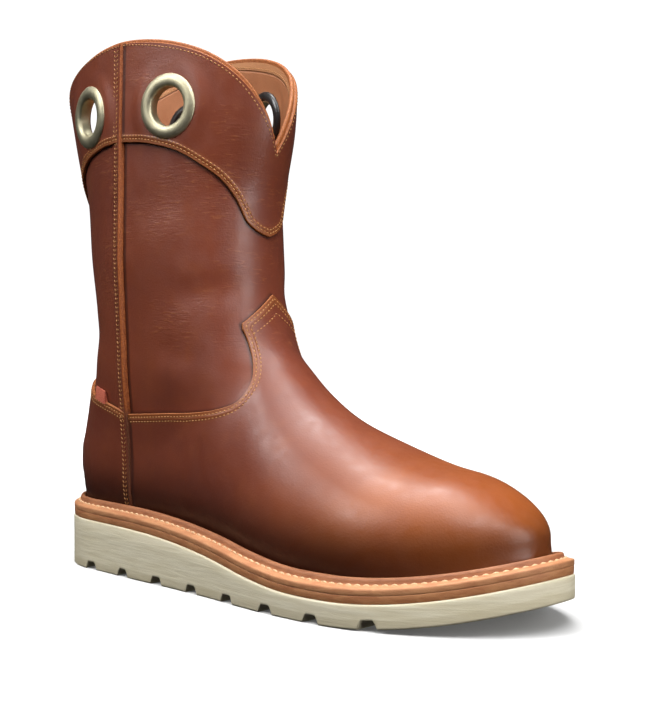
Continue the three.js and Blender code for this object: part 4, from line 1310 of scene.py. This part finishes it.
def make_welt():
    rings = list(WELT_RINGS)
    for step in range(BEAD_STEPS):
        turn = math.pi * step / (BEAD_STEPS - 1)
        is_foot = step in (0, BEAD_STEPS - 1)
        rise = -BEAD_TUCK if is_foot else BEAD_HEIGHT * math.sin(turn) ** BEAD_ROUND
        rings.append((BEAD_FOOT + BEAD_WIDTH * (1 - math.cos(turn)) / 2, welt_seat_at, rise))
    rings += [(WELT_INNER, welt_seat_at), (WELT_INNER, midsole_top_at, GAP + 0.05)]
    kinds = [0] * len(WELT_RINGS) + [1] * (BEAD_STEPS + 1)
    make_stack("welt", rings, [WELT, BEAD], "welt", kinds, is_open=True)
    points = sole_ring(STITCH_INSET, welt_edge_at, STITCH_RISE - 0.3)
    points = points[len(SHARES) // STITCHES_SKIP_PART:]
    line = np.hstack([points, np.tile([0, 0, 1.0], (len(points), 1))])
    make_stitches("welt_stitches", [line], "welt", WELT_THREAD, pitch=4.4, length=3.7, radius=0.75)


# Insole: a plug inside the welt under a rim inside the upper
INSOLE_RIM = WELT_WIDTH + OVERLAY + WALL + 3 * GAP + 1
INSOLE_PLUG = WELT_INNER + GAP
INSOLE_RINGS = [
    (INSOLE_PLUG, midsole_top_at, GAP), (INSOLE_PLUG, feather_at), (INSOLE_RIM, feather_at, 0.02),
    (INSOLE_RIM, feather_at, INSOLE_THICKNESS - 1.2),
    (INSOLE_RIM + 0.4, feather_at, INSOLE_THICKNESS - 0.3),
    (INSOLE_RIM + 1.4, feather_at, INSOLE_THICKNESS),
]


# Rings turned round a pull hole's axis: radius and height over the overlay's face
GROMMET_PROFILE = [
    (10.1, -4.4), (10.0, -2.0), (10.0, 0.2), (10.15, 0.85), (10.6, 1.4), (11.3, 1.75), (12.2, 1.95),
    (13.3, 2.0), (14.4, 1.8), (15.4, 1.4), (16.2, 0.85), (16.6, 0.4), (16.6, 0.1), (16.0, -0.25),
    (10.9, -0.25), (10.9, -4.6), (10.75, -4.9), (10.4, -4.9), (10.2, -4.7),
]
WASHER_PROFILE = [
    (11.0, -4.0), (11.0, -5.2), (11.4, -5.9), (12.3, -6.2), (13.7, -6.0), (14.9, -5.5), (15.7, -4.8),
    (15.8, -4.0),
]
TURN_STEPS = 72
SHARP_ANGLE = 50


def make_turned(name, node, hole, profile, material, slot):
    turns = 2 * np.pi * np.arange(TURN_STEPS)[:, None] / TURN_STEPS
    across = np.cos(turns) * hole["across"] + np.sin(turns) * hole["up"]
    rings = [hole["middle"] + radius * across + height * hole["out"] for radius, height in profile]
    points = np.vstack(rings)
    faces = grid_quads(len(profile), TURN_STEPS, is_looped=True)[:, ::-1]
    piece = make_mesh(name, points, faces, [material])
    sharpen(piece, SHARP_ANGLE)
    return place_piece(piece, slot, node)


# Heel tab: a bare folded strip that stands out of the counter's top edge and slopes with it
TAB_TURNS = (117, 129)
TAB_HEIGHT = 7.2
TAB_TUCK = 0.6
TAB_STAND = 0.2
TAB_HALF_THICKNESS = 1.1
TAB_FOLD_ROUND = 1.8
TAB_FOLD_RINGS = 12
TAB_COLUMNS = 13


def make_tab():
    turns = np.linspace(TAB_TURNS[0], TAB_TURNS[1], TAB_COLUMNS)
    edge = COLLAR_HEIGHT * column_at({"at": COUNTER_EDGE["turn"], "up": COUNTER_EDGE["up"]}, "up", turns)
    rows = []
    for turn in np.linspace(0, np.pi, TAB_FOLD_RINGS):
        up = TAB_HEIGHT * (1 - abs(math.cos(turn)) ** TAB_FOLD_ROUND) - TAB_TUCK
        out = TAB_STAND - UPPER_DEPTH + TAB_HALF_THICKNESS * (1 + math.cos(turn))
        points = around_seam(-turns, edge + up)
        rows.append(points + out * outward_at(points))
    faces = grid_quads(TAB_FOLD_RINGS, TAB_COLUMNS, is_round=False)[:, [0, 3, 2, 1]].tolist()
    ids = np.arange(TAB_FOLD_RINGS * TAB_COLUMNS).reshape(TAB_FOLD_RINGS, TAB_COLUMNS)
    faces += [ids[::-1, 0].tolist(), ids[:, -1].tolist(), ids[0].tolist() + ids[-1, ::-1].tolist()]
    piece = make_mesh("tab_strip", np.vstack(rows), faces, [TAB])
    sharpen(piece, SHARP_ANGLE)
    place_piece(piece, "tab", "tab")


# Camera where the photograph was taken from, in the boot's millimetres
CAMERA_PLACE = (627.122, -498.392, 135.712)
CAMERA_YAW = 2.307
CAMERA_PITCH = -0.027
CLIP_START = 0.02
IMAGE_WIDTH = 650
FOCAL_PIXELS = 1366
SENSOR_WIDTH = 36


def make_camera():
    forward = Vector((math.cos(CAMERA_PITCH) * math.cos(CAMERA_YAW),
                      math.cos(CAMERA_PITCH) * math.sin(CAMERA_YAW), math.sin(CAMERA_PITCH)))
    right = Vector((math.sin(CAMERA_YAW), -math.cos(CAMERA_YAW), 0))
    up = right.cross(forward)
    turn = Matrix((right, up, -forward)).transposed().to_4x4()
    data = bpy.data.cameras.new("camera")
    data.sensor_fit = "HORIZONTAL"
    data.sensor_width = SENSOR_WIDTH
    data.lens = SENSOR_WIDTH * FOCAL_PIXELS / IMAGE_WIDTH
    data.clip_start = CLIP_START
    camera = bpy.data.objects.new("camera", data)
    camera.matrix_world = Matrix.Translation(Vector(to_frame(CAMERA_PLACE))) @ turn
    bpy.context.scene.collection.objects.link(camera)
    bpy.context.scene.camera = camera


# Studio: lights aimed at the boot's middle, a floor and a backdrop, in the frame's metres and watts
LIGHT_TARGET = (0, 0, 0.11)
LIGHTS = {
    "top": {"place": (-0.05, -0.10, 1.25), "size": (0.9, 0.9), "power": 11},
    "key": {"place": (0.60, -0.35, 1.00), "size": (0.6, 0.6), "power": 8},
    "front": {"place": (1.15, 0.05, 0.40), "size": (0.4, 0.9), "power": 7},
    "back": {"place": (-0.16, 0.12, 1.25), "size": (0.5, 0.5), "power": 7},
    "left": {"place": (-0.45, -0.90, 0.95), "size": (0.6, 0.6), "power": 10},
}
FLOOR_REACH = 9
FLOOR_TONE = 0.8
BACKDROP_TONE = 0.1
BACKDROP_REACH = 0.95 * FLOOR_REACH
BACKDROP_SIDES = 64
BACKDROP_LOW = -0.5
BACKDROP_HIGH = 8
TONE_SPREAD = 0.02
NEAR_GLOW = 0.06
FAR_GLOW = 1.1
GLOW_START = 250
GLOW_END = 1100
SKY = {"From Min": -0.6, "From Max": 0.8, "To Min": 0.55, "To Max": 0.85}


def make_light(name, place, size, power):
    data = bpy.data.lights.new(name, "AREA")
    data.shape = "RECTANGLE"
    data.size, data.size_y = size
    data.energy = power
    light = bpy.data.objects.new(name, data)
    direction = Vector(LIGHT_TARGET) - Vector(place)
    light.rotation_euler = direction.to_track_quat("-Z", "Y").to_euler()
    light.location = place
    bpy.context.scene.collection.objects.link(light)


# A matt white sheet that glows more with the distance from the boot and lights nothing
def stage_mesh(name, points, faces, tone, near_glow):
    n = Nodes(name)
    pale = tone + TONE_SPREAD
    shade = n.mix(n.noise(400, 2), colour(tone, tone, tone), colour(pale, pale, pale))
    distance = n.add("VectorMath", {0: n.place}, "Value", operation="LENGTH")
    glow = n.ramp(distance, GLOW_START, GLOW_END, near_glow, FAR_GLOW)
    n.link(glow, n.shader.inputs["Emission Strength"])
    n.finish(shade, 0.9, Specular_IOR_Level=0.1, Emission_Color=colour(1, 1, 1))
    mesh = bpy.data.meshes.new(name)
    mesh.from_pydata(points, [], faces)
    mesh.materials.append(n.material)
    stage = bpy.data.objects.new(name, mesh)
    bpy.context.scene.collection.objects.link(stage)
    stage.visible_diffuse = False
    stage.visible_glossy = False
    return stage


# World light that grows from below upwards
def make_sky():
    world = bpy.data.worlds.new("studio")
    world.use_nodes = True
    tree = world.node_tree
    coordinates = tree.nodes.new("ShaderNodeTexCoord")
    parts = tree.nodes.new("ShaderNodeSeparateXYZ")
    ramp = tree.nodes.new("ShaderNodeMapRange")
    ramp.interpolation_type = "SMOOTHSTEP"
    for key, number in SKY.items():
        ramp.inputs[key].default_value = number
    tree.links.new(coordinates.outputs["Generated"], parts.inputs[0])
    tree.links.new(parts.outputs["Z"], ramp.inputs["Value"])
    tree.links.new(ramp.outputs["Result"], tree.nodes["Background"].inputs["Strength"])
    bpy.context.scene.world = world
    bpy.context.scene.view_settings.view_transform = "Standard"


# A pale floor and a far pale backdrop all round, neither of which lights the boot
def make_studio():
    reach = FLOOR_REACH
    corners = [(-reach, -reach, 0), (reach, -reach, 0), (reach, reach, 0), (-reach, reach, 0)]
    stage_mesh("floor", corners, [(0, 1, 2, 3)], FLOOR_TONE, NEAR_GLOW)
    turns = 2 * np.pi * np.arange(BACKDROP_SIDES) / BACKDROP_SIDES
    rim = [(BACKDROP_REACH * math.cos(turn), BACKDROP_REACH * math.sin(turn)) for turn in turns]
    points = [(x, y, z) for z in (BACKDROP_LOW, BACKDROP_HIGH) for x, y in rim]
    walls = grid_quads(2, BACKDROP_SIDES)[:, [1, 0, 3, 2]].tolist()
    backdrop = stage_mesh("backdrop", points, walls, BACKDROP_TONE, FAR_GLOW)
    backdrop.visible_shadow = False
    make_sky()
    for name, light in LIGHTS.items():
        make_light(name, **light)


make_camera()
make_studio()
make_upper()
stitches = []
for node, overlay in OVERLAYS.items():
    stitches += make_overlay(node, **overlay)
stitches.append(chevron_line())
make_stitches("edge_stitches", stitches, "edge_leather", THREAD)
make_stitches("collar_stitches", inner_collar_lines(), "lining", THREAD)
for name, side in (("piping_outer", -1), ("piping_inner", 1)):
    for row, line, way in zip(("front", "back"), make_piping(side, name), (side, -side)):
        make_stitches(f"{name}_stitches_{row}", [line], "edge_leather", THREAD, length=STRIP_STITCH,
                      lean=STRIP_LEAN * way)
make_outsole()
make_stack("midsole", MIDSOLE_RINGS, [MIDSOLE], "midsole")
make_welt()
make_stack("insole", INSOLE_RINGS, [LINING], "lining")
make_tab()
for name, hole in PULL_HOLES.items():
    make_turned("ring_" + name, "grommet_" + name, hole, GROMMET_PROFILE, GROMMET, "grommet")
    make_turned("back_ring_" + name, "washer_" + name, hole, WASHER_PROFILE, WASHER, "washer")
